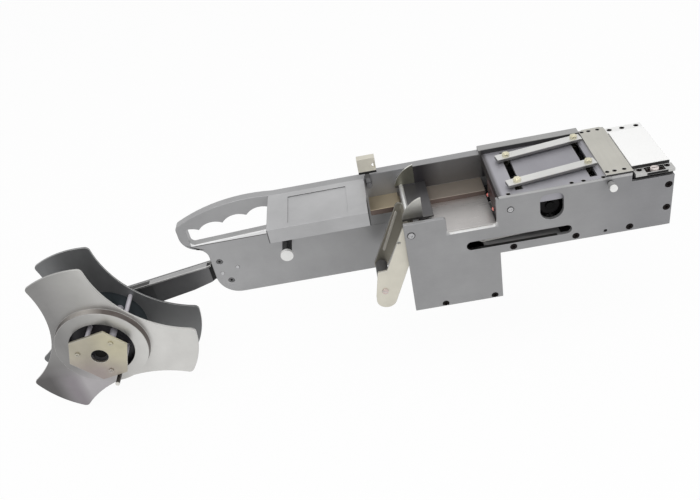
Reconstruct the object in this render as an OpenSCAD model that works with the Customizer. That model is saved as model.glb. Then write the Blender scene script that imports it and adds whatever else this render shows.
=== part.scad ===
// Label feeder for a placement machine: an open plate frame with a tape deck at the front,
// a control box and hand grip at the rear and a label reel on an arm behind the grip.
// Millimetres. X runs forward to the pick-up end, Y runs from the near panel to the main plate, Z is up.
// The origin is the middle of the docking face, the flat underside of the front section.

/* [Body] */
// width over the near panel and the main plate
body_w = 87; // [84:1:94]
// length of the front section, from the dock box to the nose
front_l = 157; // [152:1:168]
// length of the rear section, from the dock box side of the front section to the root of the grip
rear_l = 289; // [280:1:310]
// height of the deck surface over the docking face
deck_z = 63; // [61:1:67]
// thickness of the near side panel
panel_t = 4; // [3.5:0.5:5]
// thickness of the main plate
plate_t = 10; // [9:0.5:12]
// depth of the dock box below the docking face
box_drop = 54; // [48:1:58]

/* [Hand grip] */
// distance from one finger hollow to the next
finger_pitch = 26; // [25:0.5:27]
// radius of each finger hollow
finger_r = 20.3; // [19:0.1:22]

/* [Deck] */
// turn of the two guide rails against the deck
rail_skew = 8.2; // [0:0.2:9]
// width of each guide rail
rail_w = 9.5; // [8:0.5:10]
// width of the slots that the rail studs run in
slot_w = 6.5; // [5.5:0.5:7]

/* [Reel] */
// distance of the reel axis behind the root of the grip
reel_reach = 122.5; // [118:0.1:130]
// outer radius of the reel flanges
reel_r = 98; // [88:1:104]
// clear width between the reel flanges
reel_gap = 34; // [30:1:40]
// thickness of the flange sheet
flange_t = 2; // [1.5:0.5:3]

/* [Drive] */
// radius of the rubber drive roller
roller_r = 9; // [8:0.5:9.5]
// radius of the pinch roller
pinch_r = 6; // [5:0.5:6.5]
// radial clearance of every running fit
fit = 0.06; // [0.04:0.01:0.09]

/* [Hidden] */
$fn = 64;
e = 0.01;
gap = 0.3;
// side planes: outer and inner faces of the near panel and of the main plate
yn0 = -body_w/2;
yn1 = yn0 + panel_t;
yf1 = body_w/2;
yf0 = yf1 - plate_t;
// ends of the front section
xb = -front_l/2;
xf = front_l/2;
// deck levels
deck_t = 2.5;
fence_z = deck_z + 4.5;
nose_z = deck_z - 5.5;
rear_z = deck_z - 3;
panel_z = deck_z - deck_t;
// stations along the deck
x_notch = xf - 37.5;
x_cov0 = xf - 60.5;
x_cov1 = xf - 36.5;
x_peel0 = xf - 35;
x_peel1 = xf - 1.5;
// stations behind the front section
x_mid = xb - 114.5;
x_pan0 = xb - 61.5;
x_panel0 = xb - 86.5;
hx = xb - rear_l;
x_grip0 = hx - 24;
u0 = xb - 47.5;
u1 = xb - 1.5;
u_z = deck_z - 31.5;
post_z = deck_z - 13;
base_t = 8;
pan_t = 6;
// screw sizes
screw_head_r = 3.1;
screw_head_h = 2;
screw_r = 1.7;
small_head_r = 1.8;
small_head_h = 1;
small_r = 0.95;
// screws through the near panel and, as a mirror set, through the main plate
wall_screws = [[xf - 4.5, deck_z - 19], [xf - 4.5, 19.5], [xf - 37, 4.5], [xb + 70.5, 4.5],
    [xb + 12.5, 4.5], [xb - 56.5, pan_t/2 - box_drop], [xb - 8, pan_t/2 - box_drop]];
tap_x = xf - 59.3;
tap_r = 1.65;
// reel axis and arm
rx = hx - reel_reach;
rz = -47.7;
arm_t = 3;
arm_r = 18.5;
spindle_r = 6;
lobe0 = 100.8;
valley_r = reel_r*0.531;
y_fl0 = -reel_gap/2 - 1;
y_fl1 = reel_gap/2 - 1;
hub_y = -35.5;
rod_pc = 22;
rod_r = 3.5;
stay_pc = 25;
stay_r = 2.3;
boss_h = 7;
boss_r = valley_r - 3.5;
boss_hole = 33.5;
arm_bolts = [[hx + 8.7, -8.6], [hx + 14.7, -34.9]];
arm_pins = [[hx + 25.6, -19], [hx + 7.9, -24]];
// dancer
px = xb - 80.5;
pz = deck_z - 25.5;
pin_r = 3;
dn_x = px - 32.5;
dn_z = pz - 74.5;
ax_x = px - 32.5;
ax_z = pz - 63.5;
// drive
dx = xb + 48.5;
dz = deck_z - 24;
win_r = 10.6;
win_z1 = dz + 17;
shaft_r = 4;
nip = 0.5;
nx = dx;
nz = dz - roller_r - nip - pinch_r;
lx = xb - 13.5;
lz = 13;
mx = xb - 39.5;
mz = 4;
belt_y0 = yf0 - 14;
belt_y1 = yf0 - 6;
pul_d = 10;
pul_m = 7;
belt_t = 1.2;
// return roller
tx = xb + 11.2;
tz = deck_z - 16;
// control box
cb_x0 = hx + 77;
cb_x1 = x_mid - 0.5;
cb_y0 = yf0 - 60;
cb_z0 = deck_z - 18;
cb_t = 1.5;
// pull knob and latch
kx = hx + 84.5;
kz = 4.5;
qx = xb - 111;
qz = deck_z - 9;
tab_x0 = qx - 8;
tab_x1 = qx + 9.5;
tab_z1 = fence_z + 16.5;
tab_t = 2;
tab_d = 5;
// rail studs sit where the rails cross the slots
slot_xa = xb + 21;
slot_xb = x_cov0 - 9;
slot_y0 = yn1 + 2;
slot_y1 = yf0 - 3;
deck_spots = [xb + 10.2, x_cov0 - 30, x_cov0 - 19.5, x_cov0 - 2];
rail_x0 = xb + 11.5;
rail_x1 = x_cov0 - 2.5;
rail_l = (rail_x1 - rail_x0)/cos(rail_skew);
far_y = yf0 - 13.5;
near_y = yn1 + 14;
rail_z = deck_z + 2;
rail_t = 3;
// thumb screw and dial
sx = xf - 57;
sz = deck_z - 6;
jx = xf - 16.5;
jy = yn0 + 5;

// a flat profile in X and Z, given thickness from y0 to y1
module slab(y0, y1) {
    translate([0, y1, 0]) rotate([90, 0, 0]) linear_extrude(height = y1 - y0) children();
}
// a round bar along Y
module rod(x, z, y0, y1, r) {
    translate([x, y1, z]) rotate([90, 0, 0]) cylinder(h = y1 - y0, r = r);
}
// a round bar along Z
module post(x, y, z0, z1, r) {
    translate([x, y, z0]) cylinder(h = z1 - z0, r = r);
}
module box(x0, x1, y0, y1, z0, z1) {
    translate([x0, y0, z0]) cube([x1 - x0, y1 - y0, z1 - z0]);
}
module rect(x0, x1, z0, z1) {
    translate([x0, z0]) square([x1 - x0, z1 - z0]);
}
module disc(x, z, r) {
    translate([x, z]) circle(r = r);
}
// the sliver between a square corner at (x, z) and a rounding of radius r on its sx, sz side
module corner(x, z, sx, sz, r) {
    difference() {
        polygon([[x - sx*e, z - sz*e], [x + sx*r, z - sz*e], [x + sx*r, z + sz*r], [x - sx*e, z + sz*r]]);
        disc(x + sx*r, z + sz*r, r);
    }
}
// points of an arc
function arc(x, z, r, a0, a1) = [
    for (i = [0:24]) let (a = a0 + (a1 - a0)*i/24) [x + r*cos(a), z + r*sin(a)]
];
// a bar with round ends between two points, radius ra at the first and rb at the second
module link(xa, za, ra, xc, zc, rb) {
    d = sqrt((xc - xa)*(xc - xa) + (zc - za)*(zc - za));
    a = atan2(zc - za, xc - xa);
    w = acos((ra - rb)/d);
    polygon(concat(arc(xa, za, ra, a + w, a + 360 - w), arc(xc, zc, rb, a - w, a + w)));
}

// main plate with the hand grip
grip_r = 178;
grip_cx = hx + 57.5;
grip_cz = rear_z + 1.6 - grip_r;
nose_r = 6;
nose_cx = x_grip0 + nose_r;
nose_cz = grip_cz + sqrt((grip_r - nose_r)*(grip_r - nose_r) - (nose_cx - grip_cx)*(nose_cx - grip_cx));
nose_tx = grip_cx + (nose_cx - grip_cx)*grip_r/(grip_r - nose_r);
nose_tz = grip_cz + (nose_cz - grip_cz)*grip_r/(grip_r - nose_r);
grip_slope = 8.6;

module grip_opening() {
    intersection() {
        union() {
            for (i = [0:3]) {
                disc(hx - 10.9 + i*finger_pitch*cos(grip_slope),
                    rear_z - 42.5 + (20.3 - finger_r) + i*finger_pitch*sin(grip_slope), finger_r);
            }
        }
        polygon([[hx - 14.2, rear_z - 42.8], [hx + 90, rear_z - 38.2], [hx + 90, rear_z - 5],
            [hx - 14.2, rear_z - 5]]);
    }
}
module main_outline() {
    difference() {
        union() {
            // front section under the deck, the cover plate and the nose
            rect(xb - 1.5, x_cov0 - 1, 0, fence_z);
            rect(x_cov0 - 2, x_peel0 - 0.5, 0, deck_z);
            rect(x_peel0 - 1, xf, 0, nose_z);
            // middle section with the dock box side
            rect(x_mid, xb, 0, deck_z + 0.5);
            rect(x_panel0, xb, -box_drop, e);
            // rear section under the control box
            rect(hx + 70, x_mid + e, 2 - box_drop, rear_z);
            rect(hx, x_panel0 + e, 2 - box_drop, rear_z - 40);
            // hand grip bow
            intersection() {
                rect(x_grip0, hx + 82, rear_z - 49, rear_z + 2);
                disc(grip_cx, grip_cz, grip_r);
            }
            corner(hx, rear_z - 49, -1, -1, 11.5);
        }
        corner(hx, 2 - box_drop, 1, 1, 24);
        corner(x_grip0, rear_z - 49, 1, 1, 18);
        difference() {
            polygon([[x_grip0 - 1, nose_cz], [x_grip0 - 1, nose_cz + 10], [nose_tx, nose_tz + 4],
                [nose_tx, nose_tz], [nose_cx, nose_cz]]);
            disc(nose_cx, nose_cz, nose_r);
        }
        difference() {
            grip_opening();
            corner(hx - 14.2, rear_z - 42.8, 1, 1, 5);
        }
    }
}
module arm_tail(c) {
    polygon([[hx - 3 - c, -12.4 + c], [hx + 3.5 - c, -3 + c], [hx + 31.5 + c, -3 + c],
        [hx + 31.5 + c, -40 - c],
        [hx + 7.5 - c, -40 - c], [hx - 3 - c, -34.9 - c]]);
}
module main_plate() {
    color([0.60, 0.61, 0.63]) difference() {
        slab(yf0, yf1) main_outline();
        // rebate for the reel arm
        slab(yf1 - arm_t, yf1 + 1) arm_tail(0.2);
        for (p = arm_bolts) {
            rod(p[0], p[1], yf0 - 1, yf1, screw_r + 0.15);
            rod(p[0], p[1], yf0 - 1, yf0 + screw_head_h + 0.4, screw_head_r + 0.25);
        }
        for (p = arm_pins) rod(p[0], p[1], yf0 - 1, yf1, 2);
        for (p = wall_screws) {
            rod(p[0], p[1], yf0 - 1, yf1 + 1, screw_r + 0.15);
            rod(p[0], p[1], yf1 - screw_head_h - 0.4, yf1 + 1, screw_head_r + 0.25);
        }
        rod(px, pz, yf0 - 1, yf1 - 3, pin_r);
        rod(tx, tz, yf0 - 1, yf1 - 3, 2.5);
        rod(lx, lz, yf0 - 1, yf1 - 3, 2.5);
        rod(qx, qz, yf0 - 1, yf1 - 3, 2);
        rod(dx, dz, yf0 - 1, yf1 + 1, 7.5);
        rod(kx, kz, yf0 - 1, yf1 + 1, 4 + fit);
        for (x = [x_cov0 + 2.5, x_cov0 + 9, x_cov0 + 17.5]) {
            post(x, yf0 + 3.5, deck_z - 8, deck_z + 1, small_r + 0.1);
        }
        for (x = [x_peel0 + 4.5, x_peel0 + 16.5, x_peel0 + 30]) {
            post(x, yf0 + 6, nose_z - 8, nose_z + 1, 1.5);
        }
    }
}

// near side panel
module near_outline() {
    difference() {
        union() {
            rect(xb, xf, 0, nose_z - 3.5);
            rect(x_panel0, x_notch, 0, panel_z);
            rect(x_panel0, xb, -box_drop, e);
        }
        // opening over the tape trough
        difference() {
            rect(u0, u1, u_z, panel_z + 1);
            corner(u0, u_z, 1, 1, 4);
            corner(u1, u_z, -1, 1, 4);
        }
        // lowered post in front of the dancer
        rect(x_panel0 - 1, u0 + e, post_z, panel_z + 1);
        corner(u0, post_z, -1, -1, 3);
        // long slot in front of the pinch lever
        rect(xb - 26.2, xb + 62, 9, 18.4);
        disc(xb - 26.2, 13.7, 4.7);
        disc(xb + 62, 13.7, 4.7);
        // window on the drive roller
        difference() {
            rect(dx - win_r, dx + win_r, dz, win_z1);
            corner(dx - win_r, win_z1, 1, -1, 6);
            corner(dx + win_r, win_z1, -1, -1, 6);
        }
        intersection() {
            disc(dx, dz, win_r);
            rect(dx - win_r - 1, dx + win_r + 1, dz - win_r - 1, dz + e);
        }
    }
}
module near_panel() {
    color([0.62, 0.63, 0.65]) difference() {
        slab(yn0, yn1) near_outline();
        for (p = wall_screws) {
            rod(p[0], p[1], yn0 - 1, yn1 + 1, screw_r + 0.15);
            rod(p[0], p[1], yn0 - 1, yn0 + screw_head_h + 0.4, screw_head_r + 0.25);
        }
        rod(tap_x, 4.5, yn0 - 1, yn1 + 1, tap_r);
        rod(px, pz, yn0 - 1, yn1 + 1, pin_r);
        rod(px, pz, yn0 - 1, yn0 + 1.2, pin_r + 0.8);
        rod(tx, tz, yn0 - 1, yn1 + 1, 2.5);
        rod(tx, tz, yn0 - 1, yn0 + 1.2, 2.5 + 0.8);
        rod(sx, sz, yn0 - 1, yn1 + 1, 2 + fit);
        for (x = deck_spots) {
            post(x, yn0 + 2, panel_z - 5.5, panel_z + 1, small_r + 0.1);
        }
    }
}

// base of the front section; its underside is the docking face
module base_plate() {
    color([0.55, 0.56, 0.58]) difference() {
        union() {
            box(xb, xf, yn1, yf0, 0, base_t);
            // tongue under the pinch lever, seen through the long slot
            box(xb - 14, xb + e, yn1, 0, base_t - 3, base_t);
        }
        for (p = wall_screws) {
            if (p[1] < base_t && p[1] > 0) {
                rod(p[0], p[1], yn1 - 1, yn1 + 9, screw_r + 0.1);
                rod(p[0], p[1], yf0 - 9, yf0 + 1, screw_r + 0.1);
            }
        }
        rod(tap_x, 4.5, yn1 - 1, yn1 + 10, tap_r);
    }
}

// nose casting: a front wall and the shelf under the peel plate
module front_block() {
    color([0.13, 0.13, 0.14]) difference() {
        union() {
            box(xf - 10, xf, yn1, yf0, base_t, nose_z - 3 + e);
            box(x_peel0, xf, yn1, yf0, nose_z - 3, nose_z);
        }
        for (p = wall_screws) {
            if (p[0] > xf - 10 && p[1] > base_t) {
                rod(p[0], p[1], yn1 - 1, yn1 + 9, screw_r + 0.1);
                rod(p[0], p[1], yf0 - 9, yf0 + 1, screw_r + 0.1);
            }
        }
        for (x = [x_peel0 + 5.5, xf - 5]) post(x, yn1 + 2.6, nose_z - 2.6, nose_z + 1, 1.5);
        post(jx, jy, nose_z - 2.5, nose_z + 1, 2);
    }
}

// dock box: floor, front wall and rear wall of one bent pan
module dock_pan() {
    color([0.52, 0.53, 0.55]) difference() {
        union() {
            box(x_pan0, xb, yn1, yf0, -box_drop, pan_t - box_drop);
            box(xb - 3, xb, yn1, yf0, pan_t - box_drop - e, 0);
            box(x_pan0, x_pan0 + 2, yn1, yf0, pan_t - box_drop - e, deck_z - 40);
        }
        for (p = wall_screws) {
            if (p[1] < 0) {
                rod(p[0], p[1], yn1 - 1, yn1 + 9, screw_r + 0.1);
                rod(p[0], p[1], yf0 - 9, yf0 + 1, screw_r + 0.1);
            }
        }
        // window for the plug
        box(xb - 4, xb + 1, -14.2, 14.2, -36.2, -19.8);
    }
}
module dock_connector() {
    color([0.08, 0.08, 0.09]) difference() {
        union() {
            box(xb - 9, xb + 2, -14, 14, -36, -20);
            box(xb - 5, xb - 3, -17, 17, -38, -18);
        }
        box(xb - 3, xb + 3, -12, 12, -34, -22);
    }
}

// deck with two cross slots and a bent rear lip
module deck_plate() {
    color([0.64, 0.65, 0.68]) difference() {
        union() {
            box(xb + 0.5, x_notch, yn0, yf0, panel_z, deck_z);
            box(xb + 0.5, xb + 3, yn1 + gap, yf0, deck_z - 13, deck_z);
            // tab behind the top of the window on the drive roller
            box(dx - win_r - 4, dx + win_r + 4, yn1 + 0.1, yn1 + 1.6, dz + 7.5, panel_z + e);
        }
        // rounded bend of the lip
        translate([0, yf0 + 1, 0]) rotate([90, 0, 0]) linear_extrude(height = body_w + 2)
            corner(xb + 0.5, deck_z, 1, -1, 2);
        for (x = [slot_xa, slot_xb]) {
            box(x - slot_w/2, x + slot_w/2, slot_y0, slot_y1, panel_z - 1, deck_z + 1);
        }
        for (x = deck_spots) {
            post(x, yn0 + 2, panel_z - 1, deck_z + 1, small_r + 0.1);
            post(x, yn0 + 2, deck_z - small_head_h - 0.2, deck_z + 1, small_head_r + 0.1);
        }
        for (x = [x_cov0 + 2.5, x_cov0 + 9, x_cov0 + 17.5]) {
            post(x, yn1 + 2, panel_z - 1, deck_z + 1, small_r + 0.1);
        }
    }
}

// bar along the main plate that carries the far edge of the tape
module tape_ledge() {
    color([0.66, 0.63, 0.58]) difference() {
        box(x_mid + 0.5, u1, yf0 - 24, yf0, u_z, u_z + 6);
        box(px - 4.5, px + 4.5, yf0 - 25, yf0 + 1, u_z + 1.6, u_z + 7);
    }
}
// sheet floor of the tape trough
module trough_floor() {
    color([0.80, 0.80, 0.81]) difference() {
        box(px + 10, u1, yn1, yf0 - 24, u_z - 1.5, u_z + 1);
        translate([0, yf0, 0]) rotate([90, 0, 0]) linear_extrude(height = body_w)
            corner(px + 10, u_z + 1, 1, -1, 1.5);
    }
}

// hold-down plate across the deck
module cover_plate() {
    color([0.66, 0.66, 0.62]) difference() {
        box(x_cov0, x_cov1, yn0 + 1, yf1 - 2, deck_z, deck_z + 2);
        for (sgn = [0, 1]) {
            translate([sgn == 0 ? x_cov0 : x_cov1, yf1 - 2, deck_z - 1]) rotate(45)
                cube([5, 5, 8], center = true);
        }
        for (x = [x_cov0 + 2.5, x_cov0 + 9, x_cov0 + 17.5]) {
            for (y = [yn1 + 2, yf0 + 3.5]) {
                post(x, y, deck_z - 1, deck_z + 3, small_r + 0.1);
                post(x, y, deck_z + 2 - small_head_h - 0.2, deck_z + 3, small_head_r + 0.1);
            }
        }
    }
}

// white peel plate: the backing tape turns down over its front edge
module peel_plate() {
    color([0.93, 0.93, 0.92]) difference() {
        box(x_peel0, x_peel1, yn1 + 6, yf0 - 4, nose_z, deck_z + 1);
        translate([0, yf0, 0]) rotate([90, 0, 0]) linear_extrude(height = body_w)
            corner(x_peel1, deck_z + 1, -1, -1, 1.5);
    }
}
module end_bar_near() {
    color([0.74, 0.75, 0.76]) difference() {
        box(x_peel0 + 0.5, xf, yn0, yn1 + 5.7, nose_z, nose_z + 3);
        box(jx - 8.5, jx + 8.5, yn0 + 0.6, yn1 + 5, nose_z + 1, nose_z + 4);
        post(jx, jy, nose_z - 1, nose_z + 2, 1.5 + fit);
        for (x = [x_peel0 + 5.5, xf - 5]) {
            post(x, yn1 + 2.6, nose_z - 1, nose_z + 4, 1.5);
            post(x, yn1 + 2.6, nose_z + 1.2, nose_z + 4, 2.4);
        }
    }
}
module end_bar_far() {
    color([0.78, 0.78, 0.78]) difference() {
        box(x_peel0 + 0.5, xf, yf0 - 3.5, yf1, nose_z, nose_z + 3);
        for (x = [x_peel0 + 4.5, x_peel0 + 16.5, x_peel0 + 30]) {
            post(x, yf0 + 6, nose_z - 1, nose_z + 4, 1.5);
            post(x, yf0 + 6, nose_z + 1.2, nose_z + 4, 2.4);
        }
    }
}

// fasteners
module wall_screw(x, z, y, sgn) {
    difference() {
        union() {
            rod(x, z, sgn > 0 ? y : y - screw_head_h, sgn > 0 ? y + screw_head_h : y, screw_head_r);
            rod(x, z, sgn > 0 ? y + screw_head_h - e : y - plate_t - 6,
                sgn > 0 ? y + panel_t + 7 : y - screw_head_h + e, screw_r);
        }
        translate([x, y, z]) rotate([90, 0, 0]) cylinder(h = 2.4, r = 1.5, center = true, $fn = 6);
    }
}
module panel_screws() {
    color([0.06, 0.06, 0.07]) {
        for (p = wall_screws) {
            wall_screw(p[0], p[1], yn0 + 0.3, 1);
            wall_screw(p[0], p[1], yf1 - 0.3, -1);
        }
    }
}
module small_screw(x, y, z, len) {
    difference() {
        union() {
            post(x, y, z - small_head_h, z, small_head_r);
            post(x, y, z - len, z - small_head_h + e, small_r);
        }
        translate([x, y, z]) cylinder(h = 1, r = 0.8, center = true, $fn = 6);
    }
}
module deck_screws() {
    color([0.06, 0.06, 0.07]) {
        for (x = deck_spots) small_screw(x, yn0 + 2, deck_z - 0.1, 7);
    }
}
module cover_screws() {
    color([0.07, 0.07, 0.08]) {
        for (x = [x_cov0 + 2.5, x_cov0 + 9, x_cov0 + 17.5]) {
            small_screw(x, yn1 + 2, deck_z + 1.9, 4.2);
            small_screw(x, yf0 + 3.5, deck_z + 1.9, 8);
        }
    }
}
module end_screw(x, y, z, len) {
    difference() {
        union() {
            post(x, y, z - 1.6, z, 2.2);
            post(x, y, z - len, z - 1.6 + e, 1.35);
        }
        translate([x, y, z]) cylinder(h = 1.6, r = 1.1, center = true, $fn = 6);
    }
}
module end_screws() {
    color([0.08, 0.08, 0.09]) {
        for (x = [x_peel0 + 5.5, xf - 5]) end_screw(x, yn1 + 2.6, nose_z + 2.9, 5.2);
        for (x = [x_peel0 + 4.5, x_peel0 + 16.5, x_peel0 + 30]) end_screw(x, yf0 + 6, nose_z + 2.9, 9);
    }
}

// control box: folded cover with a bare panel recess, tray and circuit board
module control_cover() {
    color([0.68, 0.69, 0.70]) difference() {
        box(cb_x0, cb_x1, cb_y0, yf0, cb_z0, rear_z);
        box(cb_x0 + cb_t, cb_x1 - cb_t, cb_y0 + cb_t, yf0 + 1, cb_z0 - 1, rear_z - cb_t);
        box(cb_x0 + 20.5, cb_x1 - 19, cb_y0 + 7, yf0 - 7.5, rear_z - 0.9, rear_z + 1);
        for (x = [cb_x0, cb_x1]) {
            translate([x, (cb_y0 + yf0)/2, rear_z]) rotate([0, 45, 0]) cube([0.8, 80, 0.8], center = true);
        }
    }
}
module control_tray() {
    color([0.58, 0.58, 0.60]) union() {
        box(cb_x0 + cb_t + 0.1, cb_x1 - cb_t - 0.1, cb_y0 + cb_t + 0.1, yf0, cb_z0, cb_z0 + 1.5);
        box(cb_x0 + cb_t + 0.1, cb_x1 - cb_t - 0.1, yf0 - 1.5, yf0, cb_z0, rear_z - cb_t - 0.1);
        for (x = [cb_x0 + 8, cb_x1 - 8]) {
            for (y = [cb_y0 + 8, yf0 - 10]) post(x, y, cb_z0 + 1, cb_z0 + 5, 2.5);
        }
    }
}
module control_board() {
    color([0.10, 0.32, 0.20]) union() {
        box(cb_x0 + 4, cb_x1 - 4, cb_y0 + 4, yf0 - 6, cb_z0 + 5, cb_z0 + 6.6);
        box(cb_x0 + 25, cb_x0 + 45, cb_y0 + 15, cb_y0 + 35, cb_z0 + 6.6 - e, cb_z0 + 9);
        box(cb_x1 - 30, cb_x1 - 12, cb_y0 + 10, cb_y0 + 22, cb_z0 + 6.6 - e, cb_z0 + 10.5);
    }
}

// reel arm: a tapered plate with a fold along its top, bolted into the rebate of the main plate
arm_xa = hx - 2.5;
arm_za = -11;
arm_zb = -34.9;
function line_z(xa, za, xc, zc, x) = za + (zc - za)*(x - xa)/(xc - xa);
arm_tx = rx - 2.6;
arm_tz = rz + 18.2;
arm_bx = rx + 4.2;
arm_bz = rz - 16.4;
function arm_top(x) = line_z(arm_xa, arm_za, arm_tx, arm_tz, x);
module reel_arm() {
    color([0.45, 0.46, 0.48]) difference() {
        union() {
            slab(yf1 - arm_t, yf1) {
                arm_tail(0);
                polygon([[arm_xa, arm_za], [arm_tx, arm_tz], [arm_bx, arm_bz], [hx - 69.5, -53],
                    [hx - 30, -45], [hx - 8, -38.3], [arm_xa, arm_zb]]);
                disc(rx, rz, arm_r);
            }
            slab(yf0, yf1 - arm_t + e) {
                polygon([[hx - 2, arm_top(hx - 2)], [hx - 94, arm_top(hx - 94)],
                    [hx - 94, arm_top(hx - 94) - 2], [hx - 2, arm_top(hx - 2) - 2]]);
            }
        }
        rod(rx, rz, yf1 - arm_t - 1, yf1 + 1, 5);
        for (p = arm_bolts) rod(p[0], p[1], yf1 - arm_t - 1, yf1 - 0.6, screw_r + 0.1);
        for (p = arm_pins) rod(p[0], p[1], yf1 - arm_t - 1, yf1 - 0.6, 2);
    }
}
module arm_screws() {
    color([0.06, 0.06, 0.07]) {
        for (p = arm_bolts) {
            difference() {
                union() {
                    rod(p[0], p[1], yf0 + 0.3, yf0 + 0.3 + screw_head_h, screw_head_r);
                    rod(p[0], p[1], yf0 + screw_head_h, yf1 - 0.9, screw_r);
                }
                translate([p[0], yf0 + 0.3, p[1]]) rotate([90, 0, 0])
                    cylinder(h = 2.4, r = 1.5, center = true, $fn = 6);
            }
        }
    }
}
module arm_dowels() {
    color([0.80, 0.80, 0.81]) {
        for (p = arm_pins) rod(p[0], p[1], yf0 - 0.2, yf1 - 0.8, 2 - 0.02);
    }
}
// fixed spindle of the reel, with a shoulder against the arm
module reel_spindle() {
    color([0.70, 0.71, 0.73]) union() {
        rod(rx, rz, -33.5, yf1 - arm_t, spindle_r);
        rod(rx, rz, y_fl1 + flange_t + 9 + gap, yf1 - arm_t, 11);
        rod(rx, rz, yf1 - arm_t - e, yf1 + 0.5, 5 - 0.1);
        rod(rx, rz, y_fl0 - 1.5 - gap, y_fl0 - gap, 8.5);
    }
}

// reel: two three-lobed flanges on a hub of rods
cut_d = reel_r*1.612;
cut_r = cut_d - valley_r;
lobe_r = 5;
function meet(ra, rb, d) = acos((ra*ra + d*d - rb*rb)/(2*ra*d));
fil_a = meet(reel_r - lobe_r, cut_r + lobe_r, cut_d);
fil_x = (reel_r - lobe_r)*cos(fil_a);
fil_z = (reel_r - lobe_r)*sin(fil_a);
cut_a = atan2(fil_z, cut_d - fil_x);
function turned(x, z, a) = [x*cos(a) - z*sin(a), x*sin(a) + z*cos(a)];
function run(c, r, a0, a1, n) = [
    for (i = [0:n - 1]) let (a = a0 + (a1 - a0)*i/n) [c[0] + r*cos(a), c[1] + r*sin(a)]
];
// outline of a flange: for each valley a rounded corner, the hollow, a rounded corner and the lobe's arc
module lobes() {
    polygon([
        for (k = [0:2]) let (v = lobe0 - 60 + 120*k) each concat(
            run(turned(fil_x, -fil_z, v), lobe_r, v - fil_a, v + cut_a, 8),
            run(turned(cut_d, 0, v), cut_r, v + 180 + cut_a, v + 180 - cut_a, 20),
            run(turned(fil_x, fil_z, v), lobe_r, v - cut_a, v + fil_a, 8),
            run([0, 0], reel_r, v + fil_a, v + 120 - fil_a, 20)
        )
    ]);
}
module at_reel() {
    translate([rx, 0, rz]) children();
}
module rear_flange() {
    color([0.30, 0.31, 0.33]) at_reel() difference() {
        slab(y_fl1, y_fl1 + flange_t) lobes();
        rod(0, 0, y_fl1 - 1, y_fl1 + flange_t + 1, valley_r - 11.5);
    }
}
module front_flange() {
    color([0.66, 0.67, 0.68]) at_reel() difference() {
        union() {
            slab(y_fl0 - flange_t, y_fl0) lobes();
            // pressed boss around the hub, hollow behind
            translate([0, y_fl0 - flange_t + e, 0]) rotate([90, 0, 0])
                cylinder(h = boss_h + e, r1 = boss_r, r2 = boss_r - 1, $fn = 96);
        }
        rod(0, 0, y_fl0 - flange_t - boss_h - 1, y_fl0 + 1, boss_hole);
        rod(0, 0, y_fl0 - boss_h, y_fl0 + 1, boss_r - flange_t - 1);
    }
}
module hub_disc() {
    color([0.20, 0.20, 0.21]) at_reel() difference() {
        union() {
            rod(0, 0, y_fl1 + flange_t, y_fl1 + flange_t + 5, valley_r - 5.5);
            rod(0, 0, y_fl1 + flange_t, y_fl1 + flange_t + 9, 10);
        }
        rod(0, 0, y_fl1, y_fl1 + flange_t + 10, spindle_r + fit);
    }
}
module hub_rods() {
    color([0.75, 0.75, 0.76]) at_reel() {
        for (k = [0:2]) {
            rotate([0, -(lobe0 - 60 + 120*k), 0]) difference() {
                rod(rod_pc, 0, hub_y, y_fl1 + flange_t, rod_r);
                rod(rod_pc, 0, hub_y - 1, hub_y + 8, 1.5);
            }
            // thinner stays between the rods, and spacers that keep the flanges apart
            rotate([0, -(lobe0 + 120*k), 0]) rod(stay_pc, 0, hub_y, y_fl1 + flange_t, stay_r);
            rotate([0, -(lobe0 - 60 + 120*k), 0]) rod(valley_r - 8, 0, y_fl0 + 3, y_fl1, stay_r);
        }
        // stop pin on the boss of the front flange
        rotate([0, -(lobe0 - 180), 0]) rod(boss_hole + 3, 0, hub_y - 9.5, y_fl0 - flange_t - boss_h, 2.2);
    }
}
module hub_spider() {
    color([0.10, 0.10, 0.11]) at_reel() difference() {
        union() {
            slab(y_fl0, y_fl0 + 1.2) circle(r = valley_r - 2, $fn = 96);
            slab(y_fl0, y_fl0 + 3) {
                circle(r = 11);
                for (k = [0:2]) rotate(lobe0 - 60 + 120*k) rect(0, valley_r - 3, -6, 6);
            }
        }
        rod(0, 0, y_fl0 - 1, y_fl0 + 4, spindle_r + fit);
        for (k = [0:2]) {
            rotate([0, -(lobe0 - 60 + 120*k), 0]) rod(rod_pc, 0, y_fl0 - 1, y_fl0 + 4, rod_r + 0.05);
            rotate([0, -(lobe0 + 120*k), 0]) rod(stay_pc, 0, y_fl0 - 1, y_fl0 + 4, stay_r + 0.05);
        }
    }
}
// six-sided end plate, with three short and three long sides
module hub_plate() {
    color([0.80, 0.78, 0.66]) at_reel() difference() {
        slab(hub_y - 2.5, hub_y) polygon([
            for (k = [0:5]) let (a = lobe0 - 60 + 120*floor(k/2) + (k % 2 == 0 ? -25 : 25))
            [33.5*cos(a), 33.5*sin(a)]]);
        rod(0, 0, hub_y - 4, hub_y + 1, 8.8);
        for (k = [0:2]) {
            rotate([0, -(lobe0 - 60 + 120*k), 0]) rod(rod_pc, 0, hub_y - 4, hub_y + 1, 1.5);
        }
    }
}
module hub_screws() {
    color([0.78, 0.78, 0.76]) at_reel() {
        for (k = [0:2]) {
            rotate([0, -(lobe0 - 60 + 120*k), 0]) difference() {
                union() {
                    rod(rod_pc, 0, hub_y - 4, hub_y - 2.5, 2.6);
                    rod(rod_pc, 0, hub_y - 2.6, hub_y + 6, 1.35);
                }
                translate([rod_pc, hub_y - 4, 0]) rotate([90, 0, 0])
                    cylinder(h = 1.6, r = 1.2, center = true, $fn = 6);
            }
        }
    }
}

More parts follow.
